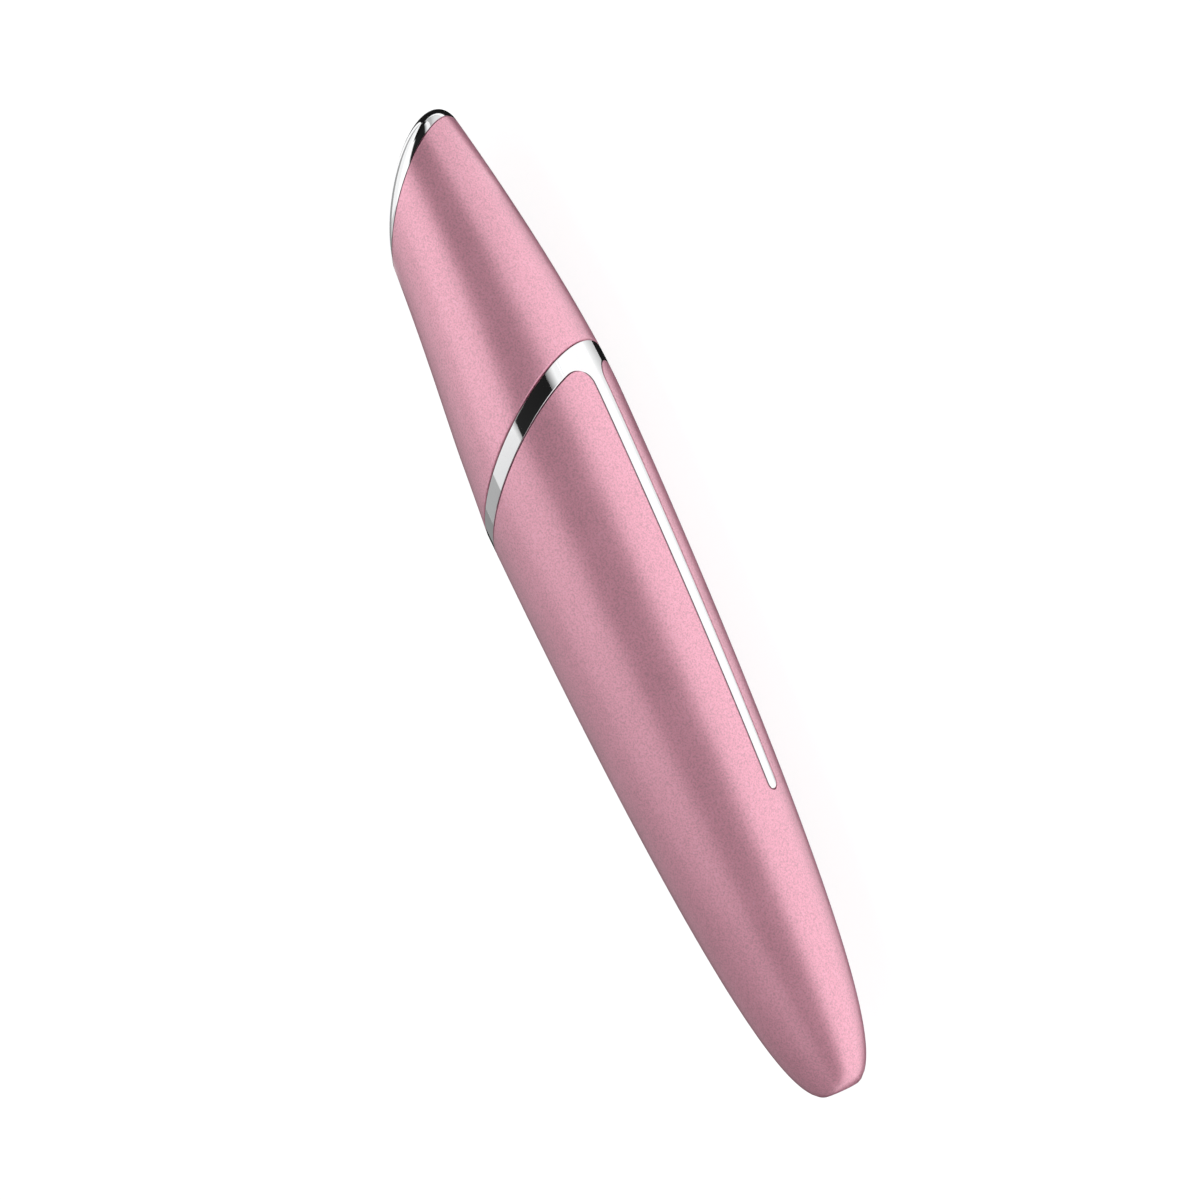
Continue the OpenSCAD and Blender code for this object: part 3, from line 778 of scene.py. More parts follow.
# Finishes of the pieces inside, by the record's material slot
SLOT_FINISHES = {
    "silicone": SILICONE,
    "heatproof_plastic": Finish("heatproof_plastic", (0.72, 0.69, 0.60), 0.55),
    "heater_foil": Finish("heater_foil", (0.50, 0.20, 0.04), 0.3, coat=0.4),
    "bead": Finish("dipped_bead", (0.02, 0.02, 0.02), 0.2, coat=0.5),
    "neck_plastic": Finish("neck_plastic", (0.035, 0.035, 0.04), 0.5),
    "chassis_plastic": Finish("chassis_plastic", (0.70, 0.65, 0.54), 0.5),
    "steel": Finish("bright_steel", (0.56, 0.57, 0.58), 0.28, Texture.METAL, metallic=1.0),
    "board_resin": Finish("board_resin", (0.02, 0.13, 0.05), 0.3, coat=0.6, grain=0.5 * MM),
    "chip_plastic": Finish("chip_plastic", (0.02, 0.02, 0.022), 0.45),
    "plunger_plastic": Finish("plunger_plastic", (0.60, 0.48, 0.26), 0.4),
    "lamp_resin": Finish("lamp_resin", (0.85, 0.78, 0.45), 0.2, coat=0.5),
    "cell_can": Finish("cell_wrap", (0.04, 0.12, 0.38), 0.3, coat=0.5),
    "foam": Finish("foam_pad", (0.07, 0.07, 0.08), 0.9, grain=0.15 * MM, relief=0.03 * MM),
    "motor_steel": Finish("motor_steel", (0.60, 0.61, 0.62), 0.3, Texture.METAL, metallic=1.0),
    "weight_metal": Finish("sintered_weight", (0.28, 0.26, 0.24), 0.5, Texture.METAL, metallic=0.9),
    "motor_rubber": Finish("motor_rubber", (0.015, 0.015, 0.016), 0.7),
    "socket_plastic": Finish("socket_plastic", (0.02, 0.02, 0.022), 0.4),
    "tinned_brass": Finish("tinned_brass", (0.62, 0.52, 0.28), 0.3, Texture.METAL, metallic=1.0),
    "red_lead": Finish("red_lead", (0.50, 0.02, 0.015), 0.4),
    "blue_lead": Finish("blue_lead", (0.02, 0.06, 0.34), 0.4),
    "grey_lead": Finish("grey_lead", (0.03, 0.03, 0.035), 0.4),
}


# ---------- outer pieces ----------


@dataclass(frozen=True)
class TrimForm:
    """Form of the chrome ring and of the strip that runs down from it."""

    outline: Outline
    ring_width: float = 2.6 * MM
    strip_end: float = 39.5 * MM
    width_top: float = 2.6 * MM
    width_end: float = 1.9 * MM
    corner_radius: float = 2.6 * MM
    pitch: float = 0.8 * MM
    corner_steps: int = 16
    cap_steps: int = 7
    back_steps: int = 20
    front_steps: int = 46

    TURN_ROUNDS = 20  # in which a point of the edge closes in on its turn
    LEAN_ROUNDS = 8  # in which the corner closes in on the edge's lean

    @property
    def low(self) -> float:
        """Height at which the ring's lower edge crosses the axis."""
        return self.outline.seam - self.ring_width

    @property
    def corner_across(self) -> float:
        """Distance of the corners' centres from the middle of the strip."""
        return self.width_top / 2 + self.corner_radius

    def edge_height(self, across: float, depth: float) -> float:
        """Height of the ring's lower edge at a distance across the back.

        Args:
            across: distance from the middle of the strip.
            depth: depth under the skin.

        Returns:
            The height.
        """
        turn = np.array([0.0])
        for _ in range(self.TURN_ROUNDS):
            height = self.outline.on_plane(self.low, self.outline.seam_slope, turn, depth)
            turn = np.arcsin(across / (self.outline.reach(height, turn) - depth))
        return float(height[0])

    def corner(self, depth: float) -> tuple[float, float]:
        """Where a corner's circle touches the ring's lower edge.

        Args:
            depth: depth under the skin.

        Returns:
            The angle at which they meet, and the height of the circle's centre.
        """
        lean, step = 0.3, 0.1 * MM
        for _ in range(self.LEAN_ROUNDS):
            across = self.corner_across + self.corner_radius * math.sin(lean)
            fall = self.edge_height(across - step, depth) - self.edge_height(across + step, depth)
            lean = math.atan2(fall, 2 * step)
        across = self.corner_across + self.corner_radius * math.sin(lean)
        return lean, self.edge_height(across, depth) - self.corner_radius * math.cos(lean)

    def edge(self, grow: float, depth: float) -> tuple[Array, Array, slice]:
        """The trim's lower edge, from flank to flank round the back.

        Args:
            grow: distance outside the trim, or inside it where negative.
            depth: depth under the skin.

        Returns:
            Heights, turns, and the stretch that belongs to the strip and its corners.
        """
        lean, centre = self.corner(depth)
        radius = self.corner_radius - grow
        arc = np.linspace(-lean, math.pi / 2, self.corner_steps + 1)
        corner_h = centre + radius * np.cos(arc)
        corner_y = -self.corner_across + radius * np.sin(arc)
        cap_centre = self.strip_end + self.width_end / 2
        cap_radius = self.width_end / 2 + grow
        steps = round((self.low - cap_centre) / self.pitch)
        side_h = np.linspace(centre, cap_centre, steps + 1)[1:]
        side_y = -np.linspace(self.width_top / 2 + grow, cap_radius, steps + 1)[1:]
        cap = np.linspace(-math.pi / 2, 0, self.cap_steps + 1)[1:]
        cap_h = cap_centre - cap_radius * np.cos(cap)
        cap_y = cap_radius * np.sin(cap)
        half_h = np.concatenate([corner_h, side_h, cap_h])
        half_y = np.concatenate([corner_y, side_y, cap_y])
        strip_h = np.concatenate([half_h, half_h[-2::-1]])
        strip_y = np.concatenate([half_y, -half_y[-2::-1]])
        strip_turn = self.outline.turn_at(strip_h, strip_y, depth, front=False)
        before = np.linspace(FLANK, strip_turn[0], self.back_steps + 1)[:-1]
        steps = self.back_steps + self.front_steps
        after = np.linspace(strip_turn[-1], FLANK + FULL_TURN, steps + 1)[1:]
        low, slope = self.low - grow, self.outline.seam_slope
        heights = [self.outline.on_plane(low, slope, t, depth) for t in (before, after)]
        height = np.concatenate([heights[0], strip_h, heights[1]])
        turn = np.concatenate([before, strip_turn, after])
        return height, turn, slice(len(before), len(before) + len(strip_h))


@dataclass(frozen=True)
class Sheet:
    """A stretch of skin, cut open at the flank, ready to be filled with triangles."""

    outline: Outline
    pitch: float

    SAMPLES = 3000
    PAST_WIDEST = 1.5  # how far up the samples go, in heights of the widest place

    def _lengths(self) -> tuple[Array, Array]:
        """Measures the skin up the back.

        Returns:
            Sample heights, and the length of skin from the tail to each.
        """
        heights = np.linspace(0, self.outline.widest * self.PAST_WIDEST, self.SAMPLES)
        reach = self.outline.reach(heights, np.zeros_like(heights))
        steps = np.hypot(np.diff(heights), np.diff(reach))
        return heights, np.concatenate([[0], np.cumsum(steps)])

    def flat(self, height: Array, turn: Array) -> Array:
        """Flat places of points, with distances close to those on the wand."""
        length = np.interp(height, *self._lengths())
        return np.stack([length, turn * self.outline.radius], axis=-1)

    def unflat(self, flat: Array) -> tuple[Array, Array]:
        """Heights and turns of flat places."""
        heights, lengths = self._lengths()
        return np.interp(flat[:, 0], lengths, heights), flat[:, 1] / self.outline.radius

    def fill(
        self,
        layout: Layout,
        low: Array,
        high: Array,
        holes: list[Array],
        depth: float,
    ) -> None:
        """Fills the band between a lower and an upper row that both run from flank to flank.

        Args:
            layout: the layout that the triangles go to.
            low: indices of the lower row; its last point stands for its first, a turn on.
            high: the same for the upper row.
            holes: rows round the holes in the band.
            depth: depth of the new points.
        """
        skin = depth == 0.0
        points = np.vstack(layout.points)
        start, end = (self.flat(points[row[0], 0], 0.0)[0] for row in (low, high))
        count = max(1, round(abs(end - start) / self.pitch))
        places = np.linspace(start, end, count + 1)[1:-1]
        side_height, _ = self.unflat(np.stack([places, places], axis=-1))
        side = layout.row(side_height, np.full(len(places), FLANK), depth, skin)
        side_flat = self.flat(side_height, np.full(len(places), FLANK))
        turn_on = np.array([0.0, FULL_TURN * self.outline.radius])

        def flat_of(row: Array) -> Array:
            """Flat places of a row that goes once round."""
            spot = self.flat(points[row, 0], points[row, 1])
            if row[-1] == row[0]:
                spot[-1] += turn_on
            return spot

        outer = np.concatenate([low, side, high[::-1], side[::-1]])
        border = [flat_of(low), side_flat + turn_on, flat_of(high)[::-1], side_flat[::-1]]
        hole_flat = [self.flat(points[h, 0], points[h, 1]) for h in holes]
        loops = [np.concatenate(border), *hole_flat]
        inner_flat = spread(loops, self.pitch)
        height, turn = self.unflat(inner_flat)
        inner = layout.row(height, turn, depth, skin)
        layout.patch(np.concatenate([outer, *holes, inner]), triangles(loops, inner_flat))


def closed_row(row: Array) -> Array:
    """A row that goes once round, with its first point again at its end."""
    return np.append(row, row[0])


@dataclass(frozen=True)
class Opening:
    """A bar-shaped or round opening in the front of the handle."""

    height: float
    length: float
    width: float

    STEP = 0.8 * MM  # between points of a straight side
    CORNER = 14  # steps in each round end

    def row(self, layout: Layout, outline: Outline, grow: float, depth: float) -> Array:
        """Adds the opening's edge to a layout, as part of the smooth skin where it isn't sunk.

        Args:
            layout: the layout.
            outline: the outline that the opening is cut in.
            grow: how far the edge is grown.
            depth: depth under the skin.

        Returns:
            The points' indices.
        """
        side = max(2, round((self.length - self.width) / self.STEP))
        along, across = stadium(self.length, self.width, grow, self.CORNER, side)
        height = self.height + along
        turn = outline.turn_at(height, across, depth, front=True)
        return layout.row(height, turn, depth, skin=depth == 0.0)


@dataclass(frozen=True)
class Handle:
    """The pink handle: a round barrel that ends in a small flat tail."""

    outline: Outline
    trim: TrimForm
    slot: Opening
    lens_hole: Opening
    wall: float = 1.6 * MM
    tail_wall: float = 2.0 * MM
    hole_radius: float = 1.3 * MM
    hole_lip: float = 0.1 * MM
    tail_edge: float = 0.3 * MM
    seam_edge: float = 0.1 * MM
    trim_gap: float = 0.16 * MM
    groove: float = 0.9 * MM
    pitch: float = 0.8 * MM
    floor_steps: int = 8

    EDGE_RUN = 0.7  # how far the tail's rounded edge runs in on its face, in edge heights
    LIP_BOW = 0.3  # place of the middle row of the pin hole's lip

    def build(self, tree: WrapTree, finish: Material) -> Object:
        """Builds the handle as one closed shell.

        Args:
            tree: the wrapping tree.
            finish: the material.

        Returns:
            The piece.
        """
        layout = Layout()
        sheet = Sheet(self.outline, self.pitch)
        inner_low, outer_low = self._tail(layout)
        rim = self._rim(layout)
        holes = [self._opening(layout, o) for o in (self.slot, self.lens_hole)]
        sheet.fill(layout, closed_row(outer_low), rim["skin"], [h[0] for h in holes], 0.0)
        sheet.fill(layout, closed_row(inner_low), rim["inner"], [h[-1] for h in holes], self.wall)
        self._groove_floor(layout, rim["floor"])
        return layout.build("handle_shell_skin", self.outline, tree, finish)

    def _tail(self, layout: Layout) -> tuple[Array, Array]:
        """Adds the tail: its rounded edge, flat face, pin hole and inner face.

        Args:
            layout: the handle's layout.

        Returns:
            The rows at which the inner and the outer skin go on.
        """
        turn = around(round(FULL_TURN * self.outline.radius / self.pitch), FLANK)

        def circle(height: float, radius: float, skin: bool = False) -> Array:
            """A row at a height and a distance from the axis."""
            reach = self.outline.reach(np.full_like(turn, height), turn)
            return layout.row(np.full_like(turn, height), turn, reach - radius, skin)

        edge, hole, lip = self.tail_edge, self.hole_radius, self.hole_lip
        face, side = (float(self.outline.reach(np.array([h]), turn[:1])[0]) for h in (0.0, edge))
        rows = [circle(edge, side, skin=True)]
        for t in (0.25, 0.5, 0.75, 1.0):
            end = face - edge * self.EDGE_RUN
            radius = (1 - t) ** 2 * side + 2 * t * (1 - t) * face + t * t * end
            rows.append(circle((1 - t) ** 2 * edge, radius))
        for height, grow in ((0.0, lip), (lip * self.LIP_BOW, lip * self.LIP_BOW), (lip, 0.0)):
            rows.append(circle(height, hole + grow))
        rows.append(circle(self.tail_wall, hole))
        layout.bridge(*rows)
        inner = layout.row(np.full_like(turn, self.tail_wall), turn, self.wall)
        layout.bridge(rows[-1], inner)
        return inner, rows[0]

    def _rim(self, layout: Layout) -> dict[str, Array]:
        """Adds the edge along the ring and round the strip's groove.

        Args:
            layout: the handle's layout.

        Returns:
            Its rows by name, each with its first point again at its end.
        """
        rows = []
        for back, depth in [*rounding(self.seam_edge), (0.0, self.groove)]:
            height, turn, strip = self.trim.edge(self.trim_gap + back, depth)
            rows.append(layout.row(height[:-1], turn[:-1], depth, skin=depth == 0.0))
        layout.bridge(*rows)
        level = rows[-1]
        points = np.vstack(layout.points)
        first, last = level[strip.start], level[strip.stop - 1]
        turns = np.linspace(points[first, 1], points[last, 1], self.floor_steps + 1)[1:-1]
        low, slope = self.trim.low - self.trim_gap, self.outline.seam_slope
        height = self.outline.on_plane(low, slope, turns, self.groove)
        across = layout.row(height, turns, self.groove)
        ring = np.concatenate([level[: strip.start + 1], across, level[strip.stop - 1 :]])
        ring_turn = np.vstack(layout.points)[ring, 1]
        inner_height = self.outline.on_plane(low, slope, ring_turn, self.wall)
        inner = layout.row(inner_height, ring_turn, self.wall)
        layout.bridge(ring, inner)
        return {
            "skin": closed_row(rows[0]),
            "inner": closed_row(inner),
            "floor": np.concatenate([level[strip], across[::-1]]),
        }

    def _opening(self, layout: Layout, opening: Opening) -> list[Array]:
        """Adds an opening's rounded edge and wall.

        Args:
            layout: the handle's layout.
            opening: the opening.

        Returns:
            Its rows, from the outer skin to the inner one.
        """
        path = [*rounding(self.seam_edge), (0.0, self.wall)]
        rows = [opening.row(layout, self.outline, g, d) for g, d in path]
        layout.bridge(*rows)
        return rows

    def _groove_floor(self, layout: Layout, floor: Array) -> None:
        """Closes the floor of the groove under the strip.

        Args:
            layout: the handle's layout.
            floor: the row round the floor.
        """
        points = np.vstack(layout.points)[floor]
        flat = np.stack([points[:, 0], points[:, 1] * self.outline.radius], axis=-1)
        layout.patch(floor, triangles([flat], np.empty((0, 2))))


@dataclass(frozen=True)
class Trim:
    """The chrome trim: a slanted ring in one piece with a long narrow strip."""

    form: TrimForm
    thickness: float = 0.8 * MM
    edge: float = 0.12 * MM
    pitch: float = 0.45 * MM
    columns: int = 180

    def build(self, tree: WrapTree, finish: Material) -> Object:
        """Builds the trim as one closed shell.

        Args:
            tree: the wrapping tree.
            finish: the material.

        Returns:
            The piece.
        """
        layout = Layout()
        outline = self.form.outline
        lower, upper = [], []
        for back, depth in [*rounding(self.edge), (0.0, self.thickness)]:
            height, turn, _ = self.form.edge(-back, depth)
            lower.append(layout.row(height[:-1], turn[:-1], depth, skin=depth == 0.0))
            turn = np.linspace(FLANK, FLANK + FULL_TURN, self.columns + 1)[:-1]
            height = outline.on_plane(outline.seam - back, outline.seam_slope, turn, depth)
            upper.append(layout.row(height, turn, depth, skin=depth == 0.0))
        layout.bridge(*lower)
        layout.bridge(*upper)
        sheet = Sheet(outline, self.pitch)
        for place, depth in ((0, 0.0), (-1, self.thickness)):
            low, high = closed_row(lower[place]), closed_row(upper[place])
            sheet.fill(layout, low, high, [], depth)
        return layout.build("chrome_trim_skin", outline, tree, finish)


@dataclass(frozen=True)
class Head:
    """The pink head: slanted at both ends, with a hollow sweep on its front."""

    outline: Outline
    wall: float = 1.4 * MM
    parting: float = 0.22 * MM
    edge: float = 0.2 * MM
    columns: int = 192
    rows: int = 72
    inner_rows: int = 24

    def build(self, tree: WrapTree, finish: Material) -> Object:
        """Builds the head as one closed shell.

        Args:
            tree: the wrapping tree.
            finish: the material.

        Returns:
            The piece.
        """
        layout, outline = Layout(), self.outline
        turn = around(self.columns, FLANK)

        def at_foot(back: float, depth: float) -> Array:
            """Heights of the foot's edge."""
            return outline.on_plane(outline.seam + self.parting + back, outline.seam_slope, turn, depth)

        def at_tip(back: float, depth: float) -> Array:
            """Heights of the tip's edge."""
            return outline.on_plane(outline.tip - back, outline.tip_slope, turn, depth)

        soft = rounding(self.edge)
        rows = [layout.row(at_foot(b, d), turn, d) for b, d in soft[:0:-1]]
        low, high = at_foot(self.edge, 0.0), at_tip(self.edge, 0.0)
        for t in np.linspace(0, 1, self.rows + 1):
            rows.append(layout.row(low + (high - low) * t, turn, 0.0, skin=True))
        rows += [layout.row(at_tip(b, d), turn, d) for b, d in soft[1:]]
        low, high = at_foot(0.0, self.wall), at_tip(0.0, self.wall)
        for t in np.linspace(1, 0, self.inner_rows):
            rows.append(layout.row(low + (high - low) * t, turn, self.wall))
        layout.bridge(*rows, rows[0])
        return layout.build("head_shell_skin", outline, tree, finish)


@dataclass(frozen=True)
class Plate:
    """The crowned metal plate that closes the slanted tip."""

    outline: Outline
    crown: float = 3.7 * MM
    crown_back: float = 2.7 * MM
    skirt: float = 3.0 * MM
    skirt_wall: float = 0.8 * MM
    inset: float = 1.95 * MM
    seat: float = 0.05 * MM
    pocket: float = 0.25 * MM
    columns: int = 192
    rows: int = 56

    def _ring(self, drop: float, depth: float) -> Array:
        """Points of the head's outline on the tip cut, about the axis.

        Args:
            drop: distance below the cut.
            depth: depth under the skin.

        Returns:
            The ring of points.
        """
        turn = around(self.columns)
        height = self.outline.on_plane(self.outline.tip - drop, self.outline.tip_slope, turn, depth)
        reach = self.outline.reach(height, turn) - depth
        return np.stack([reach * np.cos(turn), reach * np.sin(turn), height], axis=-1)

    def _crown(self) -> list[Array]:
        """Rows of the crown, which leave the rim along the head and arrive level at the top.

        Returns:
            The rows, from the rim to the top.
        """
        tilt = self.outline.tip_tilt
        rim = self._ring(-self.seat, 0.0)
        turn = around(self.columns)
        top = np.array([
            self.crown_back - self.crown * math.sin(tilt),
            0.0,
            self.outline.tip + self.outline.tip_slope * self.crown_back + self.crown * math.cos(tilt),
        ])
        step = 1 * MM
        fall = self.outline.reach(rim[:, 2], turn) - self.outline.reach(rim[:, 2] - step, turn)
        lean = fall / step
        side = np.stack([lean * np.cos(turn), lean * np.sin(turn), np.ones_like(turn)], axis=-1)
        rise = self.crown / (side[:, 2] * math.cos(tilt) - side[:, 0] * math.sin(tilt))
        foot = top - rise[:, None] * side
        rises = np.linspace(0, math.pi / 2, self.rows + 1)
        return [foot + (rim - foot) * math.cos(r) + (top - foot) * math.sin(r) for r in rises]

    def build(self, finish: Material) -> Object:
        """Builds the plate with its skirt, as one closed shell.

        Args:
            finish: the material.

        Returns:
            The piece.
        """
        outer, inner = self.inset, self.inset + self.skirt_wall
        path = [(self.pocket, inner), (self.skirt, inner), (self.skirt, outer), (-self.seat, outer)]
        below = [self._ring(drop, depth) for drop, depth in path]
        middle = below[0].mean(axis=0)
        rings = [np.tile(middle, (self.columns, 1)), *below, *self._crown()]
        return loft("treatment_plate_skin", self.outline, rings, finish)


@dataclass(frozen=True)
class Button:
    """The push button: a cap that stands a little proud, a flange inside and a stem."""

    outline: Outline
    opening: Opening
    proud: float = 0.3 * MM
    edge: float = 0.35 * MM
    dish: float = 0.16 * MM
    lip: float = 0.75 * MM
    flange: float = 0.6 * MM
    flange_reach: float = 8.65 * MM
    stem_radius: float = 1.2 * MM
    stem_end: float = 7.9 * MM

    CORNER, SIDE = 16, 12  # steps in each round end, and along each side
    BAR = 0.02 * MM  # straight part of the stem, which keeps its points apart
    DISH_ROWS = 12
    EDGE_STEPS = 5

    def _surface(self, grow: float, sunk: float) -> Array:
        """A ring of the cap, on the barrel's own curve.

        Args:
            grow: how far it is grown from the opening's size.
            sunk: how far it is sunk.

        Returns:
            The ring of points about the axis.
        """
        along, across = stadium(self.opening.length, self.opening.width, grow, self.CORNER, self.SIDE)
        height = self.opening.height + along
        reach = self.outline.reach(height, np.zeros_like(height)) + self.proud - sunk
        return np.stack([-np.sqrt(reach**2 - across**2), across, height], axis=-1)

    def _level(self, length: float, width: float, grow: float, reach: float) -> Array:
        """A ring of flange or stem, level, with as many points as a ring of the cap.

        Args:
            length: its length before growing.
            width: its width before growing.
            grow: how far it is grown.
            reach: its distance from the axis.

        Returns:
            The ring of points about the axis.
        """
        along, across = stadium(length, width, grow, self.CORNER, self.SIDE)
        return np.stack([np.full_like(along, -reach), across, self.opening.height + along], axis=-1)

    def build(self, finish: Material) -> Object:
        """Builds the button as one closed shell.

        Args:
            finish: the material.

        Returns:
            The piece.
        """
        half = self.opening.width / 2
        rings = []
        flat_part = half - self.edge
        for t in np.linspace(0, 1, self.DISH_ROWS + 1):
            hollow = self.dish * (1 - t * t) ** 2
            rings.append(self._surface(-half + flat_part * t, hollow))
        rings += [self._surface(-b, d) for b, d in rounding(self.edge, self.EDGE_STEPS)[1:]]
        cap = self.opening.length, self.opening.width
        outer, inner = self.flange_reach, self.flange_reach - self.flange
        path = [(0.0, outer), (self.lip, outer), (self.lip, inner)]
        rings += [self._level(*cap, grow, reach) for grow, reach in path]
        width = 2 * self.stem_radius
        rings += [self._level(width + self.BAR, width, 0.0, r) for r in (inner, self.stem_end)]
        rings.append(self._level(self.BAR, 0.0, 0.0, self.stem_end))
        return loft("power_button_skin", self.outline, rings, finish)


@dataclass(frozen=True)
class Surround:
    """The soft surround that lines the button's opening."""

    outline: Outline
    opening: Opening
    gap: float = 0.15 * MM
    wall: float = 0.6 * MM
    depth: float = 1.5 * MM
    edge: float = 0.18 * MM

    def build(self, tree: WrapTree, finish: Material) -> Object:
        """Builds the surround as one closed ring.

        Args:
            tree: the wrapping tree.
            finish: the material.

        Returns:
            The piece.
        """
        layout = Layout()
        soft = rounding(self.edge, steps=4)
        inner = [(self.gap + back, depth) for back, depth in soft]
        outer = [(self.gap + self.wall - back, depth) for back, depth in soft]
        path = [*outer, (self.gap + self.wall, self.depth), (self.gap, self.depth), *inner[::-1]]
        rows = [self.opening.row(layout, self.outline, g, d) for g, d in path]
        layout.bridge(*rows, rows[0])
        return layout.build("button_surround_skin", self.outline, tree, finish)


@dataclass(frozen=True)
class Lens:
    """The indicator's light guide: a small round window with a lip and a rod behind it."""

    outline: Outline
    height: float
    radius: float = 0.9 * MM
    lip_radius: float = 1.5 * MM
    lip_reach: float = 8.9 * MM
    lip: float = 0.6 * MM
    end: float = 7.3 * MM
    edge: float = 0.12 * MM
    top_sunk: float = 0.01 * MM
    edge_sunk: float = 0.05 * MM
    columns: int = 40

    BOW_PART, BOW_ROWS = 0.85, 6  # the bowed part of the window's radius, and its rows

    def build(self, finish: Material) -> Object:
        """Builds the light guide as one closed shell.

        Args:
            finish: the material.

        Returns:
            The piece.
        """
        turn = around(self.columns)
        skin = float(self.outline.reach(np.array([self.height]), np.array([0.0]))[0])

        def ring(radius: float, reach: float) -> Array:
            """A circle at a distance from the axis."""
            height = self.height + radius * np.cos(turn)
            return np.stack([np.full_like(turn, -reach), radius * np.sin(turn), height], axis=-1)

        bowed = np.linspace(0, self.BOW_PART, self.BOW_ROWS)
        rings = [ring(self.radius * t, skin - self.top_sunk - self.edge_sunk * t * t) for t in bowed]
        rings += [ring(self.radius - b, skin - self.edge_sunk - d) for b, d in rounding(self.edge)]
        rings += [ring(self.radius, self.lip_reach), ring(self.lip_radius, self.lip_reach)]
        rings += [ring(r, self.lip_reach - self.lip) for r in (self.lip_radius, self.radius)]
        rings += [ring(self.radius, self.end), ring(0.0, self.end)]
        return loft("indicator_lens_skin", self.outline, rings, finish)


class Wand:
    """The whole wand: its outer pieces, made new, and its inner pieces, dressed."""

    CAP_SIZE = 12 * MM, 6 * MM  # the button's cap, along and across
    SLOT_SIZE = 13.6 * MM, 7.6 * MM  # the opening round its surround
    LENS_HOLE_SIZE = 1.94 * MM, 1.9 * MM

    def __init__(self, frame: dict) -> None:
        """Reads the wand's place from the frame.
        """
        low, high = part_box("handle_shell")
        self.frame = frame
        middle, radius = (low.z + high.z) / 2, (high.z - low.z) / 2
        self.outline = Outline(tail_x=low.x, axis_z=middle, radius=radius)
        button_low, button_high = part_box("power_button")
        lens_low, lens_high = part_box("indicator_lens")
        self.button_height = (button_low.x + button_high.x) / 2 - low.x
        self.lens_height = (lens_low.x + lens_high.x) / 2 - low.x

    def outer_pieces(self) -> None:
        """Builds the pieces that show, and hides the nodes they stand for."""
        tree, barrel = WrapTree(), self.outline.barrel()
        pink, chrome = PEARL_PINK.material(), PLATED.material()
        plated, silicone, guide = PLATE.material(), SILICONE.material(), LIGHT_GUIDE.material()
        trim = TrimForm(barrel)
        cap = Opening(self.button_height, *self.CAP_SIZE)
        slot = Opening(self.button_height, *self.SLOT_SIZE)
        lens_hole = Opening(self.lens_height, *self.LENS_HOLE_SIZE)
        handle = Handle(barrel, trim, slot, lens_hole).build(tree, pink)
        self._stand_for(handle, "handle_shell", "wand")
        self._stand_for(Head(self.outline).build(tree, pink), "head_shell", "wand")
        self._stand_for(Trim(trim).build(tree, chrome), "chrome_trim", "wand")
        self._stand_for(Plate(self.outline).build(plated), "treatment_plate", "wand")
        self._stand_for(Button(barrel, cap).build(chrome), "power_button", "button")
        surround = Surround(barrel, cap).build(tree, silicone)
        self._stand_for(surround, "button_surround", "wand")
        lens = Lens(barrel, self.lens_height).build(guide)
        self._stand_for(lens, "indicator_lens", "wand")

    def _stand_for(self, piece: Object, node: str, body: str) -> None:
        """Makes a piece ride on its body in place of a node.

        Args:
            piece: the piece.
            node: the node that it stands for.
            body: the body that it rides on.
        """
        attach(piece, body)
        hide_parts(node)
        LOG.info("%s stands for %s on %s", piece.name, node, body)

    def inner_pieces(self) -> None:
        """Dresses the nodes that stay."""
        slots = {s["node"]: s["material_slot"] for s in self.frame["record"]["subparts"]}
        made: dict[str, Material] = {}
        for name, node in self.frame["nodes"].items():
            slot = slots[name]
            if node.hide_render or slot not in SLOT_FINISHES:
                continue
            if slot not in made:
                made[slot] = SLOT_FINISHES[slot].material()
            node.data.materials.clear()
            node.data.materials.append(made[slot])
            LOG.info("%s wears %s", name, made[slot].name)


# ---------- studio ----------


@dataclass(frozen=True)
class Ramp:
    """A brightness that runs evenly from one shade to another along a direction.

    Without a direction it runs over the width of its card, from the lower edge to the upper one.
    """

    first: float
    last: float
    along: Vector | None = Vector((1, 0, 0))
    start: float = -0.2
    end: float = 0.2

    def socket(self, tree: NodeTree) -> NodeSocket:
        """Adds the ramp's nodes to a tree.

        Args:
            tree: the tree of a card's material.

        Returns:
            The socket that gives the brightness.
        """
        place = tree.nodes.new("ShaderNodeTexCoord")
        part = tree.nodes.new("ShaderNodeVectorMath")
        part.operation = "DOT_PRODUCT"
        part.inputs[1].default_value = self.along
        tree.links.new(place.outputs["Object"], part.inputs[0])
        return map_range(tree, part.outputs["Value"], (self.start, self.end, self.first, self.last))


@dataclass(frozen=True)
class Card:
    """A long card beside the wand, which only reflections see.

    Its edges are given by their angles above the horizon, from -Y over the top, in degrees.
    """

    name: str
    low: float
    high: float
    ramp: Ramp
    distance: float = 0.5
    end: float = 4.0  # how far it reaches beyond the tip
    back: float = 4.0  # and beyond the tail

    def corners(self, axis_z: float) -> tuple[list[Vector], Ramp]:
        """Places the card.

        Args:
            axis_z: height of the wand's axis.

        Returns:
            Its corners, and its brightness with a direction in any case.
        """
        middle = math.radians((self.low + self.high) / 2)
        half = self.distance * math.tan(math.radians(self.high - self.low) / 2)
        out = Vector((0, -math.cos(middle), math.sin(middle)))
        rise = Vector((0, math.sin(middle), math.cos(middle)))
        centre = Vector((0, 0, axis_z)) + out * self.distance
        low, high = centre - rise * half, centre + rise * half
        back, ahead = Vector((-self.back, 0, 0)), Vector((self.end, 0, 0))
        ramp = self.ramp
        if ramp.along is None:
            ramp = replace(ramp, along=rise, start=rise.dot(low), end=rise.dot(high))
        return [low + back, low + ahead, high + ahead, high + back], ramp


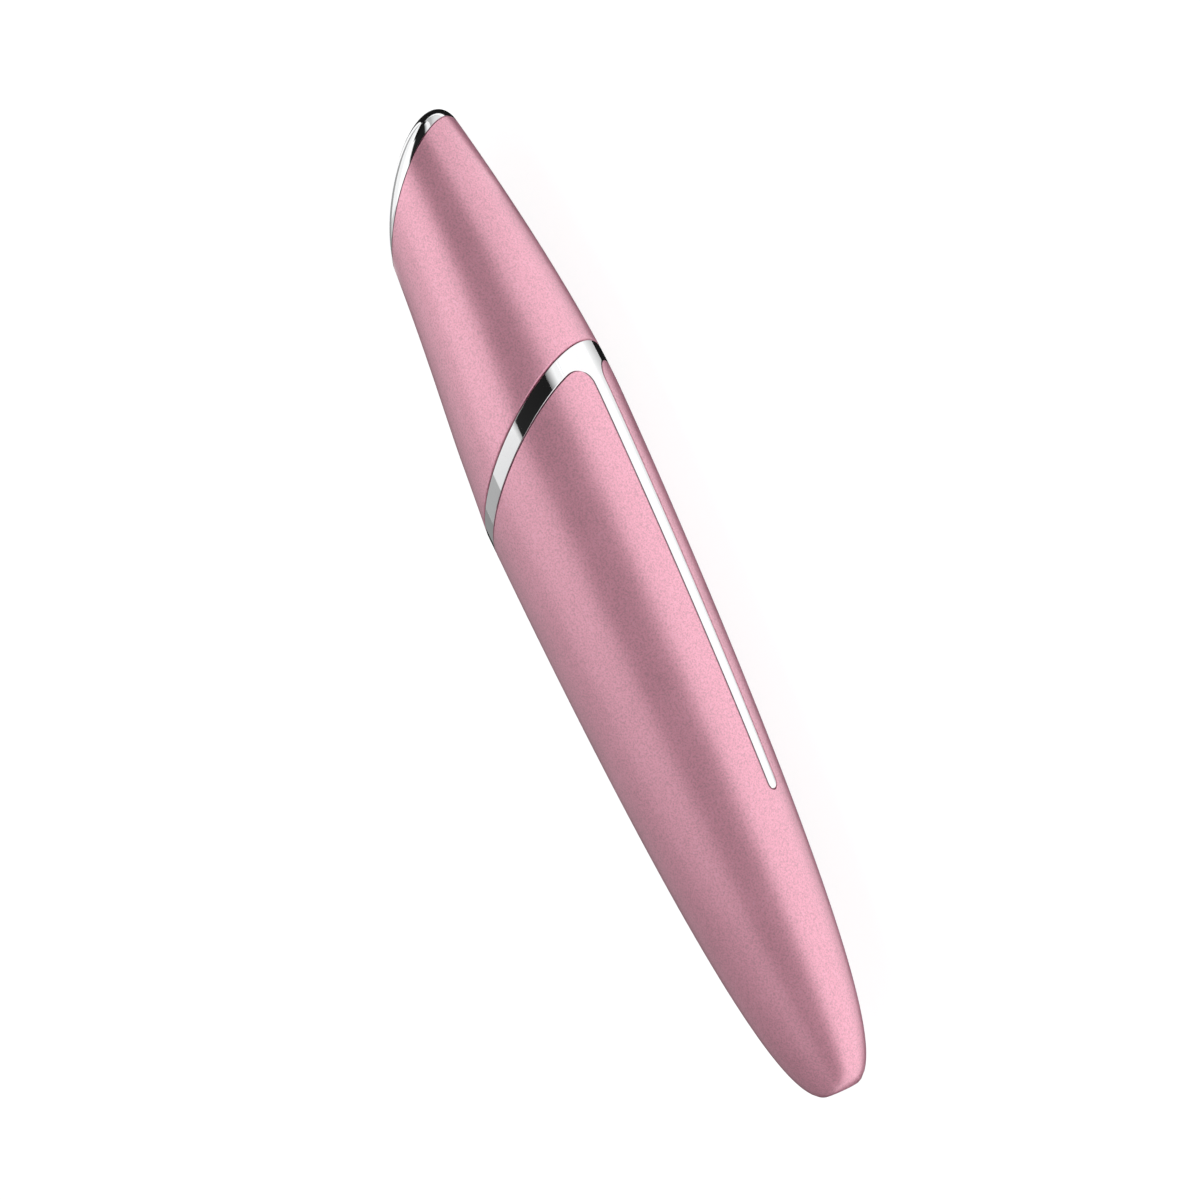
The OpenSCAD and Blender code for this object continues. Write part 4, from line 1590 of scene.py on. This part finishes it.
@dataclass(frozen=True)
class Lamp:
    """A long soft lamp that lies along X, aimed at the wand's axis and seen by no reflection."""

    name: str
    rise: float  # its angle, as a card's
    place: float  # of its middle, along X
    power: float
    length: float = 0.8
    width: float = 0.25
    distance: float = 0.9

    def build(self, aim: Vector) -> None:
        """Hangs the lamp.

        Args:
            aim: the point that lamps are aimed at.
        """
        angle = math.radians(self.rise)
        out = Vector((0, -math.cos(angle), math.sin(angle)))
        along = Vector((1, 0, 0))
        data = bpy.data.lights.new(self.name, "AREA")
        data.shape = "RECTANGLE"
        data.size = self.length
        data.size_y = self.width
        data.energy = self.power
        lamp = bpy.data.objects.new(self.name, data)
        turn = Matrix((along, out.cross(along), out)).transposed()
        centre = aim + out * self.distance + along * self.place
        lamp.matrix_world = Matrix.Translation(centre) @ turn.to_4x4()
        lamp.visible_glossy = False
        bpy.context.scene.collection.objects.link(lamp)


LAMPS = (
    Lamp("low_lamp_tail", rise=12, place=-0.5, power=4.3),
    Lamp("low_lamp", rise=30, place=0.0, power=0.95),
    Lamp("high_lamp_tail", rise=100, place=-0.5, power=2.5),
    Lamp("high_lamp_tip", rise=100, place=0.5, power=1.15),
    Lamp("back_lamp", rise=150, place=0.0, power=1.05, length=1.6),
)
CARDS = (
    Card("grey_edge_front", 8, 20, Ramp(1.0, 0.16, along=None)),
    Card("dark_card_front", 20, 79, Ramp(0.012, 0.02, along=None)),
    Card("pale_edge_above", 79, 85, Ramp(0.4, 0.9, along=None)),
    Card("pale_card_above", 85.1, 137.9, Ramp(0.1, 1.15, start=-0.17, end=0.12)),
    Card("grey_card_behind", 138, 181, Ramp(0.1, 0.7), distance=0.6, end=0.25),
)
DARK = Ramp(0.01, 0.01)
AIM = Vector((2.1 * MM, 1.69 * MM, 13.07 * MM))  # the point in the middle of the picture


@dataclass(frozen=True)
class Studio:
    """White floor, soft light and the camera at the photograph's angle."""

    elevation: float = math.radians(56)
    roll: float = math.radians(24.6)
    distance: float = 0.867
    lens: float = 200.0
    soft_light: float = 0.25
    floor_reach: float = 1.6
    floor_grey: float = 0.9
    floor_glow: float = 1.34
    glow_share: float = 0.65
    card_rise: float = 0.2 * MM

    def camera(self) -> None:
        """Aims the camera along the photograph's line of sight."""
        towards = Vector((0, -math.cos(self.elevation), math.sin(self.elevation)))
        across = Vector((0, -math.sin(self.elevation), -math.cos(self.elevation)))
        along = Vector((1, 0, 0))
        up = along * math.cos(self.roll) + across * math.sin(self.roll)
        right = across * math.cos(self.roll) - along * math.sin(self.roll)
        data = bpy.data.cameras.new("camera")
        data.lens = self.lens
        data.sensor_width = 36.0
        data.clip_start = 0.01
        camera = bpy.data.objects.new("camera", data)
        turn = Matrix((right, up, towards)).transposed()
        place = AIM + towards * self.distance
        camera.matrix_world = Matrix.Translation(place) @ turn.to_4x4()
        bpy.context.scene.collection.objects.link(camera)
        bpy.context.scene.camera = camera

    def world(self) -> None:
        """Pale surroundings: white where they are seen or mirrored, softer as light."""
        world = bpy.data.worlds.new("studio")
        bpy.context.scene.world = world
        world.use_nodes = True
        tree = world.node_tree
        background = tree.nodes["Background"]
        strength = self._shown(tree) * (1.0 - self.soft_light) + self.soft_light
        background.inputs["Color"].default_value = (1, 1, 1, 1)
        tree.links.new(strength.socket, background.inputs["Strength"])
        world.cycles.sampling_method = "NONE"

    def _shown(self, tree: NodeTree) -> Formula:
        """One where a surface is seen, mirrored or seen through, and nought where it only lights.

        Args:
            tree: the tree that the nodes go to.

        Returns:
            The number.
        """
        path = tree.nodes.new("ShaderNodeLightPath")
        kinds = ("Is Camera Ray", "Is Glossy Ray", "Is Transmission Ray")
        seen, mirrored, through = (Formula(tree, path.outputs[kind]) for kind in kinds)
        return (seen + mirrored + through).smaller(1.0)

    def floor(self) -> None:
        """A wide white floor that keeps the wand's soft shadow."""
        reach = self.floor_reach
        mesh = bpy.data.meshes.new("floor")
        corners = [(-reach, -reach, 0), (reach, -reach, 0), (reach, reach, 0), (-reach, reach, 0)]
        mesh.from_pydata(corners, [], [(0, 1, 2, 3)])
        floor = add_object("floor", mesh)
        material = bpy.data.materials.new("white_floor")
        material.use_nodes = True
        tree = material.node_tree
        shader = tree.nodes["Principled BSDF"]
        shader.inputs["Base Color"].default_value = (*[self.floor_grey] * 3, 1)
        shader.inputs["Roughness"].default_value = 0.8
        glow = tree.nodes.new("ShaderNodeEmission")
        mix = tree.nodes.new("ShaderNodeMixShader")
        share = self._shown(tree) * self.glow_share
        glow.inputs["Strength"].default_value = self.floor_glow
        tree.links.new(share.socket, mix.inputs[0])
        tree.links.new(shader.outputs[0], mix.inputs[1])
        tree.links.new(glow.outputs[0], mix.inputs[2])
        tree.links.new(mix.outputs[0], tree.nodes["Material Output"].inputs[0])
        mesh.materials.append(material)

    def card(self, name: str, corners: list[Vector], ramp: Ramp) -> None:
        """A flat card that only reflections see.

        Args:
            name: its name.
            corners: its corners.
            ramp: its brightness.
        """
        mesh = bpy.data.meshes.new(name)
        mesh.from_pydata([c[:] for c in corners], [], [range(len(corners))])
        card = add_object(name, mesh)
        material = bpy.data.materials.new(name)
        material.use_nodes = True
        tree = material.node_tree
        glow = tree.nodes.new("ShaderNodeEmission")
        tree.links.new(ramp.socket(tree), glow.inputs["Strength"])
        tree.links.new(glow.outputs[0], tree.nodes["Material Output"].inputs[0])
        mesh.materials.append(material)
        card.visible_camera = False
        card.visible_diffuse = False
        card.visible_transmission = False
        card.visible_shadow = False

    def floor_card(self, name: str, places: list[tuple[float, float]], ramp: Ramp) -> None:
        """A card just above the floor, with its corners at places in mm."""
        self.card(name, [Vector((x * MM, y * MM, self.card_rise)) for x, y in places], ramp)

    def floor_cards(self) -> None:
        """Lays out the floor as the photo's chrome shows it: dark under the wand as painted shadow,
        painted shade fading out beside it, pale before it.
        """
        below = [(-75, -6.2), (-30, -10.0), (26, -12.7), (58, -10.0)]  # just inside the wand's -Y side
        near = [(-75, -12), (-30, -16), (26, -18.2), (58, -18.2)]
        near += [(x, y - 0.05) for x, y in reversed(below)]
        # Painted shade: the near card is darkest beside the wand's -Y side and fades to white away from
        # it, like a soft shadow
        shade_fading = Ramp(1.0, 0.6, along=Vector((0, 1, 0)), start=-0.0182, end=-0.0127)
        under = [(-125, -6.2), *below, (58, 12), (52, 36), (-125, 36)]
        behind = [(-4000, 36), (300, 36), (300, 645), (-4000, 645)]
        self.floor_card("grey_floor_behind", behind, Ramp(0.08, 0.45))
        # Painted shadow: a near-black card under the wand stands in for its contact shadow where
        # reflections see the floor
        self.floor_card("painted_shadow_floor_under", under, DARK)
        self.floor_card("painted_shade_floor_near", near, shade_fading)
        self.floor_card("dark_floor_tip", [(58, -10.0), (600, -120), (600, 50), (58, 12)], DARK)
        front = [(58, -14), (58, -300), (600, -300), (600, -125)]
        self.floor_card("pale_floor_front", front, Ramp(1.0, 0.5, start=0.058, end=0.12))

    def build(self) -> None:
        """Sets up camera, surroundings, floor, lamps and cards."""
        self.camera()
        self.world()
        self.floor()
        for lamp in LAMPS:
            lamp.build(AIM)
        for card in CARDS:
            self.card(card.name, *card.corners(AIM.z))
        self.floor_cards()
        end = [Vector((600, y, z)) * MM for y, z in ((-250, 1), (50, 1), (50, 350), (-250, 350))]
        self.card("dark_card_tip", end, DARK)
        bpy.context.scene.view_settings.view_transform = "Standard"


def main() -> None:
    """Builds the scene."""
    logging.basicConfig(level=logging.INFO, format="%(name)s: %(message)s")
    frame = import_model()
    Studio().build()
    wand = Wand(frame)
    wand.outer_pieces()
    wand.inner_pieces()


if __name__ == "__main__":
    main()
